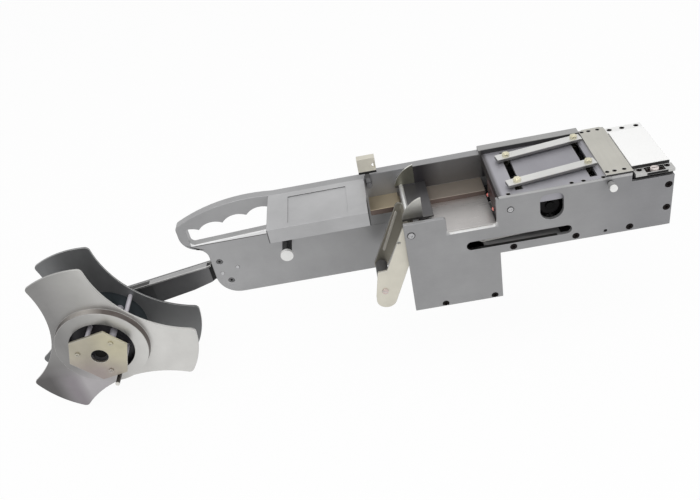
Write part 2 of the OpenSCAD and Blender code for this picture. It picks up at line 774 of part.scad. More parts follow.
// entry bracket: a dark tray between two leaf-shaped ears, on the tape path behind the trough
module ear_outline() {
    intersection() {
        rect(px - 5.5, px + 14, pz + 6.2, pz + 30);
        disc(px + 21, pz + 2.4, 27.5);
    }
}
module entry_bracket() {
    color([0.24, 0.24, 0.25]) union() {
        box(px, px + 24, yn1 + 11.5, yf0, pz + 6.2, pz + 7.7);
        slab(yf0 - 2, yf0) ear_outline();
        slab(yn1 + 11.5, yn1 + 13.5) ear_outline();
        rod(px, pz + 7.7, yn1 + 13, yf0 - 1.5, 2);
    }
}

// dancer: two arms on a fixed pin, with a roller at the lower end
module dancer_pin() {
    color([0.75, 0.75, 0.77]) difference() {
        rod(px, pz, yn0 - 0.6, yf1 - 3.2, pin_r - 0.02);
        rod(px, pz, yn0 - 1, yn0 + 0.4, 1.6);
    }
}
module dancer_arm_near() {
    color([0.80, 0.79, 0.70]) difference() {
        slab(yn1 + 0.6, yn1 + 2.6) {
            link(px, pz, 9, dn_x, dn_z, 10);
            polygon([[px - 27, pz - 39], [px - 36.5, pz - 39.5], [px - 42.3, pz - 70], [px - 30, pz - 72]]);
        }
        rod(px, pz, yn1, yn1 + 4, pin_r + fit);
        rod(ax_x, ax_z, yn1, yn1 + 4, 1.6);
        rod(px - 11.9, pz - 9, yn1, yn1 + 4, 1.5);
    }
}
arm_y = yf0 - 28.5;
module dancer_arm_far() {
    color([0.35, 0.35, 0.36]) difference() {
        union() {
            slab(arm_y, arm_y + 2) polygon(concat(
                arc(px, pz, 5.4, -25.8, 120),
                [[px - 6.6, pz + 6.4], [px - 9.4, pz + 4], [px - 10.8, pz]],
                arc(ax_x, ax_z, 7, 155, 334.2)));
            // pressed rib
            slab(arm_y - 1.2, arm_y + e) link(px - 9.5, pz - 4, 1.2, px - 27, pz - 45.5, 1.2);
            rod(px, pz, yn1 + 2.6, arm_y + e, 4.6);
        }
        rod(px, pz, yn1, arm_y + 4, pin_r + fit);
        rod(ax_x, ax_z, arm_y - 1, arm_y + 3, 1.6);
    }
}
module dancer_axle() {
    color([0.72, 0.70, 0.69]) difference() {
        union() {
            rod(ax_x, ax_z, yn1 + 2.6, arm_y, 3);
            rod(ax_x, ax_z, yn1 + 0.5, arm_y + 1.8, 1.55);
            rod(ax_x, ax_z, yn1 - 0.6, yn1 + 0.6, 3.2);
        }
        // screwdriver slot in the near head
        translate([ax_x, yn1 - 0.6, ax_z]) rotate([0, 30, 0]) cube([8, 1, 0.9], center = true);
    }
}
module dancer_roller() {
    color([0.15, 0.15, 0.16]) difference() {
        rod(ax_x, ax_z, yn1 + 3.2, arm_y - 0.6, 6);
        rod(ax_x, ax_z, yn1, arm_y + 1, 3 + fit);
    }
}

// deck guide rails, set over the two slots on studs with nuts
function rail_dy(x) = (x - (rail_x0 + rail_x1)/2)*tan(rail_skew);
module rail(y) {
    difference() {
        translate([(rail_x0 + rail_x1)/2, y, rail_z]) rotate(rail_skew) translate([-rail_l/2, -rail_w/2, 0])
            cube([rail_l, rail_w, rail_t]);
        for (x = [slot_xa, slot_xb]) post(x, y + rail_dy(x), rail_z - 1, rail_z + rail_t + 1, 2);
    }
}
module rail_studs(y) {
    for (x = [slot_xa, slot_xb]) {
        translate([x, y + rail_dy(x), 0]) {
            translate([0, 0, rail_z + rail_t]) cylinder(h = 2.6, r = 3.6, $fn = 6);
            post(0, 0, panel_z - 3.5, rail_z + rail_t + 3.4, 1.9);
            post(0, 0, deck_z + 0.2, rail_z, 4);
            post(0, 0, panel_z - 3.5, panel_z - 0.2, 4);
        }
    }
}
module rail_far() {
    color([0.78, 0.78, 0.77]) rail(far_y);
}
module rail_near() {
    color([0.78, 0.78, 0.77]) rail(near_y);
}
module rail_far_studs() {
    color([0.78, 0.68, 0.38]) rail_studs(far_y);
}
module rail_near_studs() {
    color([0.78, 0.68, 0.38]) rail_studs(near_y);
}

// pull knob in the main plate
module pull_knob() {
    color([0.07, 0.07, 0.08]) union() {
        rod(kx, kz, yf0 - 25, yf0 - 0.4, 5);
        rod(kx, kz, yf0 - 0.5, yf1 - 0.5, 4);
    }
}
module pull_cap() {
    color([0.85, 0.85, 0.84]) rod(kx, kz, yf0 - 28.5, yf0 - 25, 6.5);
}
// thumb screw in the near panel
module thumb_screw() {
    color([0.90, 0.90, 0.89]) union() {
        rod(sx, sz, yn0 - 10.5, yn0 - 4.5, 3.4);
        rod(sx, sz, yn0 - 4.6, yn0 - 0.4, 2.6);
        rod(sx, sz, yn0 - 0.5, yn1 + 3, 2);
    }
}
// adjuster dial in the near end bar
module adjuster_dial() {
    color([0.82, 0.78, 0.76]) difference() {
        union() {
            post(jx, jy, nose_z + 1.3, nose_z + 4, 3.6);
            post(jx, jy, nose_z - 2, nose_z + 1.4, 1.5);
        }
        translate([jx, jy, nose_z + 4]) cube([5.5, 0.9, 1.6], center = true);
    }
}

// drive: motor in the dock box, belt to the drive roller, sprung pinch roller below it
motor_h = 17.5;
motor_y0 = belt_y0 - 37;
motor_y1 = belt_y0 - 5;
post_spots = [[-14, 14], [-14, -14], [14, -14]];
module drive_motor() {
    color([0.12, 0.12, 0.13]) difference() {
        union() {
            box(mx - motor_h, mx + motor_h, motor_y0 + 8, motor_y1 - 8, mz - motor_h, mz + motor_h);
            box(mx - motor_h + 1, mx + motor_h - 1, motor_y0, motor_y1, mz - motor_h + 1, mz + motor_h - 1);
            rod(mx, mz, motor_y1 - e, motor_y1 + 2, 11);
        }
        rod(mx, mz, motor_y1 - 12, motor_y1 + 3, 2.5 + fit);
        for (p = post_spots) rod(mx + p[0], mz + p[1], motor_y1 - 4, motor_y1 + 1, 1.5);
    }
}
module motor_posts() {
    color([0.72, 0.72, 0.73]) {
        for (p = post_spots) {
            rod(mx + p[0], mz + p[1], motor_y1, yf0, 2.3);
            rod(mx + p[0], mz + p[1], motor_y1 - 3.5, motor_y1 + e, 1.4);
        }
    }
}
module motor_pulley() {
    color([0.70, 0.70, 0.72]) union() {
        rod(mx, mz, belt_y0 - 0.5, belt_y1 + 0.5, pul_m);
        rod(mx, mz, motor_y1 - 11, belt_y0 - 0.4, 2.5);
        rod(mx, mz, belt_y0 - 1.5, belt_y0 - 0.4, pul_m + 2.5);
        rod(mx, mz, belt_y1 + 0.4, belt_y1 + 1.5, pul_m + 2.5);
    }
}
module drive_belt() {
    color([0.05, 0.05, 0.06]) slab(belt_y0, belt_y1) difference() {
        link(mx, mz, pul_m + gap + belt_t, dx, dz, pul_d + gap + belt_t);
        link(mx, mz, pul_m + gap, dx, dz, pul_d + gap);
    }
}
module drive_bush() {
    color([0.72, 0.60, 0.32]) difference() {
        rod(dx, dz, yf0 - 4, yf1 - 0.2, 7.48);
        rod(dx, dz, yf0 - 5, yf1 + 1, shaft_r + fit);
    }
}
module drive_shaft() {
    color([0.72, 0.72, 0.74]) union() {
        rod(dx, dz, yn1 + 2, yf1 - 1, shaft_r);
        rod(dx, dz, belt_y0 - 0.5, belt_y1 + 0.5, pul_d);
        rod(dx, dz, belt_y0 - 1.5, belt_y0 - 0.4, pul_d + 2.5);
    }
}
module drive_sleeve() {
    color([0.08, 0.08, 0.08]) difference() {
        rod(dx, dz, yn1 + 4, belt_y0 - 2.5, roller_r);
        rod(dx, dz, yn1 + 3, belt_y0 - 1, shaft_r + 0.02);
    }
}
module pinch_pin() {
    color([0.72, 0.72, 0.74]) rod(lx, lz, yn1 + 5.5, yf1 - 3.2, 2.48);
}
lever_y0 = yn1 + 6.5;
lever_y1 = belt_y0 - 2.5;
module lever_side() {
    link(lx, lz, 4.8, xb + 53.5, 16.2, 4.2);
    link(nx, nz, 4, nx, 16.2, 5);
}
module pinch_lever() {
    color([0.30, 0.30, 0.31]) difference() {
        union() {
            slab(lever_y0, lever_y0 + 3) lever_side();
            slab(lever_y1 - 3, lever_y1) lever_side();
            rod(lx, lz, lever_y0, lever_y1, 4.5);
        }
        rod(lx, lz, lever_y0 - 1, lever_y1 + 1, 2.48 + fit);
        rod(nx, nz, lever_y0 - 1, lever_y1 + 1, 2 + fit);
    }
}
module pinch_roller() {
    color([0.16, 0.16, 0.17]) union() {
        rod(nx, nz, lever_y0 + 3.5, lever_y1 - 3.5, pinch_r);
        rod(nx, nz, lever_y0 + 0.3, lever_y1 - 0.3, 2);
    }
}
module return_pin() {
    color([0.80, 0.80, 0.81]) difference() {
        rod(tx, tz, yn0 - 0.4, yf1 - 3.2, 2.48);
        rod(tx, tz, yn0 - 1, yn0 + 0.4, 1.3);
    }
}
module return_roller() {
    color([0.70, 0.70, 0.71]) difference() {
        rod(tx, tz, yn1 + 1, yf0 - 1, 6);
        rod(tx, tz, yn1, yf0, 2.48 + fit);
    }
}
module tape_sensor() {
    color([0.45, 0.12, 0.12]) union() {
        box(xb - 1.3, xb + 0.5, yn1 + 1.5, yn1 + 36, deck_z - 22, deck_z - 6);
        for (y = [yn1 + 5.5, yn1 + 29.5]) {
            translate([xb - 2.6, y, deck_z - 18.5]) rotate([0, 90, 0]) cylinder(h = 2, r = 2);
        }
    }
}

// latch lever over the main plate
module latch_pin() {
    color([0.72, 0.72, 0.74]) union() {
        rod(qx, qz, yf0 - 5, yf1 - 3.2, 1.98);
        rod(qx, qz, yf0 - 6, yf0 - 4.8, 3);
    }
}
module latch_lever() {
    color([0.82, 0.81, 0.75]) difference() {
        union() {
            slab(yf0 - 4.5, yf0 - 1.5) {
                rect(qx - 2.2, qx + 2.2, qz, fence_z + 1);
                disc(qx, qz, 3.2);
                rect(tab_x0, tab_x1, fence_z, tab_z1);
            }
            // folds along the top and the front edge
            box(tab_x0, tab_x1, yf0 - 2, yf0 - 2 + tab_d, tab_z1 - tab_t, tab_z1);
            box(tab_x1 - tab_t, tab_x1, yf0 - 2, yf0 - 2 + tab_d, fence_z, tab_z1);
        }
        rod(qx, qz, yf0 - 5, yf0, 1.98 + fit);
        // notch in the face, in front of the fold
        translate([tab_x1, yf0 - 3.5, fence_z + 8]) rotate([0, 45, 0]) cube([7, 4, 7], center = true);
    }
}

main_plate();
near_panel();
base_plate();
front_block();
dock_pan();
dock_connector();
deck_plate();
tape_ledge();
trough_floor();
cover_plate();
peel_plate();
end_bar_near();
end_bar_far();
panel_screws();
deck_screws();
cover_screws();
end_screws();
control_cover();
control_tray();
control_board();
reel_arm();
arm_screws();
arm_dowels();
reel_spindle();
entry_bracket();
dancer_pin();
drive_motor();
motor_posts();
drive_bush();
drive_belt();
pinch_pin();
return_pin();
tape_sensor();
latch_pin();
rear_flange();
front_flange();
hub_disc();
hub_rods();
hub_spider();
hub_plate();
hub_screws();
dancer_arm_near();
dancer_arm_far();
dancer_axle();
dancer_roller();
rail_far();
rail_far_studs();
rail_near();
rail_near_studs();
pull_knob();
pull_cap();
thumb_screw();
adjuster_dial();
drive_shaft();
drive_sleeve();
motor_pulley();
pinch_lever();
pinch_roller();
return_roller();
latch_lever();
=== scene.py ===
"""Looks of a label feeder: finishes, softened edges, small fittings and a studio stage."""

import math

import bpy
from mathutils import Matrix, Vector


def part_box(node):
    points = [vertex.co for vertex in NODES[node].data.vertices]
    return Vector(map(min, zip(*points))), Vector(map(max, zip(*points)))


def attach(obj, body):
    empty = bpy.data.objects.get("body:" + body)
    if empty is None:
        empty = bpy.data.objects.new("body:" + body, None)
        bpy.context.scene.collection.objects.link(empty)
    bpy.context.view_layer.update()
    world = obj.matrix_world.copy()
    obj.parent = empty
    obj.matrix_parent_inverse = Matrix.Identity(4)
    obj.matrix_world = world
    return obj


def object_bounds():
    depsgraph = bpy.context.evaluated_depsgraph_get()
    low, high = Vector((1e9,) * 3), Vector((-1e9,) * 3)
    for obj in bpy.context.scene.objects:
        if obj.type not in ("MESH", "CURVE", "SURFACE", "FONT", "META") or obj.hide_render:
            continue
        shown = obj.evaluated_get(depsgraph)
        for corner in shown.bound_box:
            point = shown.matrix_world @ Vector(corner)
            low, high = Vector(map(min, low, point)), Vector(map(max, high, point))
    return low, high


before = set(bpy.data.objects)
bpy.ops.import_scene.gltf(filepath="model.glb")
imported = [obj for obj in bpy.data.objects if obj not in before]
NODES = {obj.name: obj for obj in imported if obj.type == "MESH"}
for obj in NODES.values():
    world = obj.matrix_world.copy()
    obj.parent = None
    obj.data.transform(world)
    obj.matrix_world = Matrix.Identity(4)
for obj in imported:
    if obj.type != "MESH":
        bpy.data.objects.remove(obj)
CAD_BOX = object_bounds()

bl_info = {
    "name": "Label feeder looks",
    "version": (1, 0, 0),
    "blender": (4, 5, 0),
    "location": "3D View > Sidebar > Feeder",
    "description": "Finishes, softened edges, small fittings and a stage for a label feeder",
    "category": "Object",
}

MM = 0.001

# How far below a face a patch of colour reaches
SKIN = 0.3 * MM

# Noise of the finishes: its scale and detail, the swing of the gloss and the depth of the relief
CLOUD_SCALE, CLOUD_DETAIL = 17, 4
LINE_DETAIL = 3
NOISE_ROUGHNESS = 0.6
GLOSS_SWING = 0.06
RELIEF_DEPTH = 0.2 * MM

# Cleaning and edges of the CAD nodes
MERGE_WIDTH = 0.002 * MM
FLAT_ANGLE = math.radians(0.4)
NODE_EDGE_ANGLE = math.radians(50)
EDGE_STEPS = 2
NORMAL_WEIGHT = 80

# Edges of the pieces modelled here
PIECE_EDGE_ANGLE = math.radians(35)
SMOOTH_ANGLE = math.radians(40)
BLADE_SMOOTH_ANGLE = math.radians(30)

# Finishes that several pieces share
GROUND_STEEL = {"roughness": 0.40, "metallic": 0.55, "grain": (0.03, 1, 1)}
FOLDED_SHEET = {"roughness": 0.44, "metallic": 0.5, "grain": (0.05, 1, 1)}
BAR_STEEL = {"roughness": 0.38, "metallic": 0.65, "grain": (0.03, 1, 1)}
ZINC_PLATED = {"roughness": 0.38, "metallic": 0.55, "grain": (1, 1, 0.05), "cloud": 0.08}
TURNED_STEEL = {"roughness": 0.30, "metallic": 0.9, "grain": (1, 0.1, 1)}
PALE_PLASTIC = {"roughness": 0.4, "metallic": 0.1, "streak": 0.02, "cloud": 0.03}

# Studio, in metres from the middle of the part
KEY_AWAY, KEY_SIZE = Vector((-0.25, -0.35, 1.3)), 1.4
SIDE_AWAY, SIDE_SIZE = Vector((1.0, -0.9, 0.5)), 0.9
FLOOR_SIZE = 16
FLOOR_GAP = 0.5 * MM
FLOOR_GLOW = 0.95
SENSOR_WIDTH = 36
CLIP_START = 0.01


def tone(red, green, blue):
    """A screen colour, 0 to 255 in each channel, as linear light."""
    parts = [value / 255 for value in (red, green, blue)]
    return tuple(p / 12.92 if p <= 0.04045 else ((p + 0.055) / 1.055) ** 2.4 for p in parts)


def colour_property(label, text, red, green, blue):
    """A colour that a user may change."""
    return bpy.props.FloatVectorProperty(
        name=label, description=text, subtype="COLOR", size=3, min=0, max=1,
        default=tone(red, green, blue))


class FeederFinish(bpy.types.PropertyGroup):
    """Colours of the feeder's finishes and the size of its broken edges."""

    plate_grey: colour_property("Plate grey", "Plates, panel and dock box", 152, 152, 153)
    # Plate shade is painted shade for the inner wall beside the trough.
    plate_shade: colour_property("Plate shade", "Painted shade on the inner wall beside the trough", 74, 72, 71)
    deck_grey: colour_property("Deck grey", "Slotted deck", 166, 165, 171)
    lid_grey: colour_property("Lid grey", "Control box", 178, 178, 179)
    cover_warm: colour_property("Cover", "Plate across the deck", 190, 188, 180)
    peel_white: colour_property("Peel white", "Plate at the front end", 254, 254, 253)
    # Bar silver also colours the painted highlight on the broken edges.
    bar_silver: colour_property("Bar silver", "Near end bar and worn edges", 190, 190, 188)
    reel_silver: colour_property("Reel silver", "Front flange of the reel", 186, 185, 182)
    # Reel dark is painted shade: the reel's metal darkened for the rear flange's face inside the reel.
    reel_dark: colour_property("Reel dark", "Rear flange of the reel", 118, 119, 120)
    bracket_dark: colour_property("Bracket dark", "Tray of the entry bracket", 86, 85, 86)
    arm_grey: colour_property("Arm grey", "Arm of the reel", 114, 114, 115)
    zinc: colour_property("Zinc", "Near arm and latch", 214, 210, 197)
    hub_zinc: colour_property("Hub zinc", "End plate of the hub", 178, 172, 156)
    bright: colour_property("Bright sheet", "Floor of the trough", 186, 183, 181)
    ledge_tan: colour_property("Ledge", "Ledge beside the trough", 161, 151, 140)
    black: colour_property("Black", "Front block, knob shank, motor and roller rubber", 26, 25, 26)
    nut_pale: colour_property("Nuts", "Nuts on the guide rails", 226, 221, 196)
    brass: colour_property("Brass", "Bush of the drive shaft", 196, 178, 120)
    turned: colour_property("Turned steel", "Pins, dowels, axle and rollers", 184, 184, 186)
    knob_pale: colour_property("Knob", "Knob ends", 236, 236, 234)
    lens_red: colour_property("Lens red", "Sensor lenses", 226, 118, 108)
    board_green: colour_property("Board green", "Circuit board", 24, 92, 58)
    plate_edge: bpy.props.FloatProperty(
        name="Plate edge", description="Broken edge of the plates", default=0.5 * MM,
        min=0.1 * MM, max=1 * MM, subtype="DISTANCE", unit="LENGTH", precision=5)
    small_edge: bpy.props.FloatProperty(
        name="Small edge", description="Broken edge of the small pieces", default=0.18 * MM,
        min=0.05 * MM, max=0.4 * MM, subtype="DISTANCE", unit="LENGTH", precision=5)


class FeederStage(bpy.types.PropertyGroup):
    """Camera, lamps and floor."""

    camera_place: bpy.props.FloatVectorProperty(
        name="Camera", description="Place of the camera", size=3, subtype="TRANSLATION",
        unit="LENGTH", default=(-0.1808, -0.6065, 0.4490))
    elevation: bpy.props.FloatProperty(
        name="Elevation", description="How far the camera looks down", subtype="ANGLE",
        default=math.radians(37.52))
    azimuth: bpy.props.FloatProperty(
        name="Azimuth", description="How far the camera stands round to the right",
        subtype="ANGLE", default=math.radians(4.80))
    roll: bpy.props.FloatProperty(
        name="Roll", description="Turn of the camera about its own line of sight",
        subtype="ANGLE", default=math.radians(-12.87))
    lens: bpy.props.FloatProperty(
        name="Lens", description="Focal length in millimetres", default=38.93, min=10)
    shift: bpy.props.FloatVectorProperty(
        name="Shift", description="Shift of the frame", size=2, default=(0.01214, 0.02543))
    ambient: bpy.props.FloatProperty(
        name="Ambient", description="Light from all round", default=0.55, min=0)
    key_power: bpy.props.FloatProperty(
        name="Key", description="Power of the lamp above, in watts", default=9.0, min=0)
    side_power: bpy.props.FloatProperty(
        name="Side", description="Power of the lamp on the right, in watts", default=4.0, min=0)
    floor_tone: bpy.props.FloatVectorProperty(
        name="Floor", description="Colour of the floor", subtype="COLOR", size=3,
        default=(0.9, 0.9, 0.9))


def finish_values():
    """The finish settings of this scene."""
    return bpy.context.scene.feeder_finish


def stage_values():
    """The stage settings of this scene."""
    return bpy.context.scene.feeder_stage


# Finishes


def scaled(colour, factor):
    """A colour made lighter or darker, with full opacity."""
    return tuple(min(1.0, c * factor) for c in colour) + (1.0,)


def noise(tree, source, scale, detail):
    """A noise texture that reads the given vector."""
    node = tree.nodes.new("ShaderNodeTexNoise")
    node.inputs["Scale"].default_value = scale
    node.inputs["Detail"].default_value = detail
    node.inputs["Roughness"].default_value = NOISE_ROUGHNESS
    tree.links.new(source, node.inputs["Vector"])
    return node.outputs["Fac"]


def mapped(tree, value, low, high, start=0.3, end=0.7):
    """A value between start and end spread over a new range."""
    node = tree.nodes.new("ShaderNodeMapRange")
    node.inputs["From Min"].default_value = start
    node.inputs["From Max"].default_value = end
    node.inputs["To Min"].default_value = low
    node.inputs["To Max"].default_value = high
    tree.links.new(value, node.inputs["Value"])
    return node.outputs["Result"]


def combined(tree, operation, first, second):
    """What a maths operation makes of two values."""
    node = tree.nodes.new("ShaderNodeMath")
    node.operation = operation
    tree.links.new(first, node.inputs[0])
    tree.links.new(second, node.inputs[1])
    return node.outputs["Value"]


def blend_colours(tree, factor, first, second):
    """Two colours mixed by a value; either colour may be a socket."""
    node = tree.nodes.new("ShaderNodeMix")
    node.data_type = "RGBA"
    tree.links.new(factor, node.inputs["Factor"])
    for name, colour in (("A", first), ("B", second)):
        socket = [s for s in node.inputs if s.name == name and s.type == "RGBA"][0]
        if isinstance(colour, tuple):
            socket.default_value = colour
        else:
            tree.links.new(colour, socket)
    return [s for s in node.outputs if s.type == "RGBA"][0]


def patch(colour, soft=0.3, x_from=None, x_to=None, y_from=None, y_to=None,
          z_from=None, z_to=None):
    """A box of another colour on a piece, in metres, open where no limit is given.

    The width of its rim, soft, is in millimetres, one for all axes or one for each.
    """
    widths = soft if isinstance(soft, tuple) else (soft, soft, soft)
    return colour, (x_from, y_from, z_from), (x_to, y_to, z_to), [width * MM for width in widths]


def inside(tree, axes, low, high, soft):
    """A value that is 1 inside a box and 0 outside it."""
    mask = None
    for axis, value in enumerate(axes.outputs):
        half = soft[axis] / 2
        for limit, first, second in ((low[axis], 0, 1), (high[axis], 1, 0)):
            if limit is None:
                continue
            step = mapped(tree, value, first, second, limit - half, limit + half)
            mask = combined(tree, "MULTIPLY", mask, step) if mask else step
    return mask


def surface(name, colour, roughness, metallic, grain=(1, 1, 1), streak=0.05, cloud=0.06,
            bump=0.04, fineness=900, shine=0.5, patches=()):
    """A finish whose colour, gloss and relief vary along its grain and in soft clouds.

    A small number in grain stretches the pattern along that axis, as brushing does.
    """
    material = bpy.data.materials.new(name)
    material.use_nodes = True
    tree = material.node_tree
    shader = tree.nodes["Principled BSDF"]
    shader.inputs["Metallic"].default_value = metallic
    shader.inputs["Specular IOR Level"].default_value = shine
    place = tree.nodes.new("ShaderNodeTexCoord").outputs["Object"]
    stretch = tree.nodes.new("ShaderNodeMapping")
    stretch.inputs["Scale"].default_value = grain
    tree.links.new(place, stretch.inputs["Vector"])
    lines = noise(tree, stretch.outputs["Vector"], fineness, LINE_DETAIL)
    clouds = noise(tree, place, CLOUD_SCALE, CLOUD_DETAIL)
    base = blend_colours(tree, lines, scaled(colour, 1 - streak), scaled(colour, 1 + streak))
    if patches:
        axes = tree.nodes.new("ShaderNodeSeparateXYZ")
        tree.links.new(place, axes.inputs["Vector"])
    for other, low, high, soft in patches:
        mask = inside(tree, axes, low, high, soft)
        base = blend_colours(tree, mask, base, scaled(other, 1))
    clouded = tree.nodes.new("ShaderNodeVectorMath")
    clouded.operation = "SCALE"
    tree.links.new(base, clouded.inputs[0])
    tree.links.new(mapped(tree, clouds, 1 - 2 * cloud, 1 + cloud), clouded.inputs["Scale"])
    tree.links.new(clouded.outputs["Vector"], shader.inputs["Base Color"])
    gloss = mapped(tree, lines, roughness - GLOSS_SWING, roughness + GLOSS_SWING)
    tree.links.new(gloss, shader.inputs["Roughness"])
    relief = tree.nodes.new("ShaderNodeBump")
    relief.inputs["Strength"].default_value = bump
    relief.inputs["Distance"].default_value = RELIEF_DEPTH
    tree.links.new(lines, relief.inputs["Height"])
    tree.links.new(relief.outputs["Normal"], shader.inputs["Normal"])
    return material


def edge_highlight(colour):
    """A brighter metal for the broken edges, a painted highlight where light catches them, made once.
    """
    name = "edge_highlight"
    return bpy.data.materials.get(name) or surface(name, colour, 0.34, 0.85, cloud=0.12)


def dress(material, nodes, edge, highlighted=True):
    """Gives CAD nodes a finish and softly broken edges, which unless told not to get a brighter metal
    as a painted highlight.
    """
    for name in nodes:
        piece = NODES[name]
        piece.data.materials.clear()
        piece.data.materials.append(material)
        piece.data.shade_smooth()
        weld = piece.modifiers.new("Merge", "WELD")
        weld.merge_threshold = MERGE_WIDTH
        flats = piece.modifiers.new("Flats", "DECIMATE")
        flats.decimate_type = "DISSOLVE"
        flats.angle_limit = FLAT_ANGLE
        bevel = piece.modifiers.new("Edges", "BEVEL")
        bevel.width = edge
        bevel.segments = EDGE_STEPS
        bevel.limit_method = "ANGLE"
        bevel.angle_limit = NODE_EDGE_ANGLE
        bevel.use_clamp_overlap = False
        # The bevel's faces take the painted highlight.
        if highlighted:
            piece.data.materials.append(edge_highlight(finish_values().bar_silver))
            bevel.material = 1
        normals = piece.modifiers.new("Normals", "WEIGHTED_NORMAL")
        normals.weight = NORMAL_WEIGHT


# Modelling by hand


def start_fresh():
    """Leaves edit mode with nothing selected."""
    if bpy.context.object and bpy.context.object.mode != "OBJECT":
        bpy.ops.object.mode_set(mode="OBJECT")
    bpy.ops.object.select_all(action="DESELECT")


def add_disc(vertices, radius, depth, place, turn):
    """Adds a short cylinder, turned as asked and left in edit mode."""
    start_fresh()
    bpy.ops.mesh.primitive_cylinder_add(
        vertices=vertices, radius=radius, depth=depth, end_fill_type="NGON",
        location=place, rotation=turn)
    bpy.ops.object.transform_apply(location=False, rotation=True, scale=True)
    bpy.ops.object.mode_set(mode="EDIT")
    return bpy.context.object


def select_faces(piece, wanted):
    """Selects the faces of the active piece, in edit mode, whose normal and middle pass a test."""
    bpy.ops.mesh.select_mode(type="FACE")
    bpy.ops.mesh.select_all(action="DESELECT")
    bpy.ops.object.mode_set(mode="OBJECT")
    for face in piece.data.polygons:
        face.select = wanted(piece.matrix_world.to_3x3() @ face.normal,
                             piece.matrix_world @ face.center)
    bpy.ops.object.mode_set(mode="EDIT")


def pull_faces(x):
    """Extrudes the selected faces along x."""
    bpy.ops.mesh.extrude_region_move(TRANSFORM_OT_translate={"value": (x, 0, 0)})


def settle(piece, name, material, body, edge):
    """Names a finished piece, breaks its edges, puts its place in its mesh and sets it riding."""
    bpy.ops.object.mode_set(mode="OBJECT")
    bpy.ops.object.transform_apply(location=True, rotation=True, scale=True)
    piece.name = name
    bpy.ops.object.modifier_add(type="BEVEL")
    bevel = piece.modifiers[-1]
    bevel.width = edge
    bevel.segments = EDGE_STEPS
    bevel.limit_method = "ANGLE"
    bevel.angle_limit = PIECE_EDGE_ANGLE
    bpy.ops.object.modifier_apply(modifier=bevel.name)
    bpy.ops.object.shade_smooth_by_angle(angle=SMOOTH_ANGLE)
    piece.data.materials.clear()
    piece.data.materials.append(material)
    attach(piece, body)


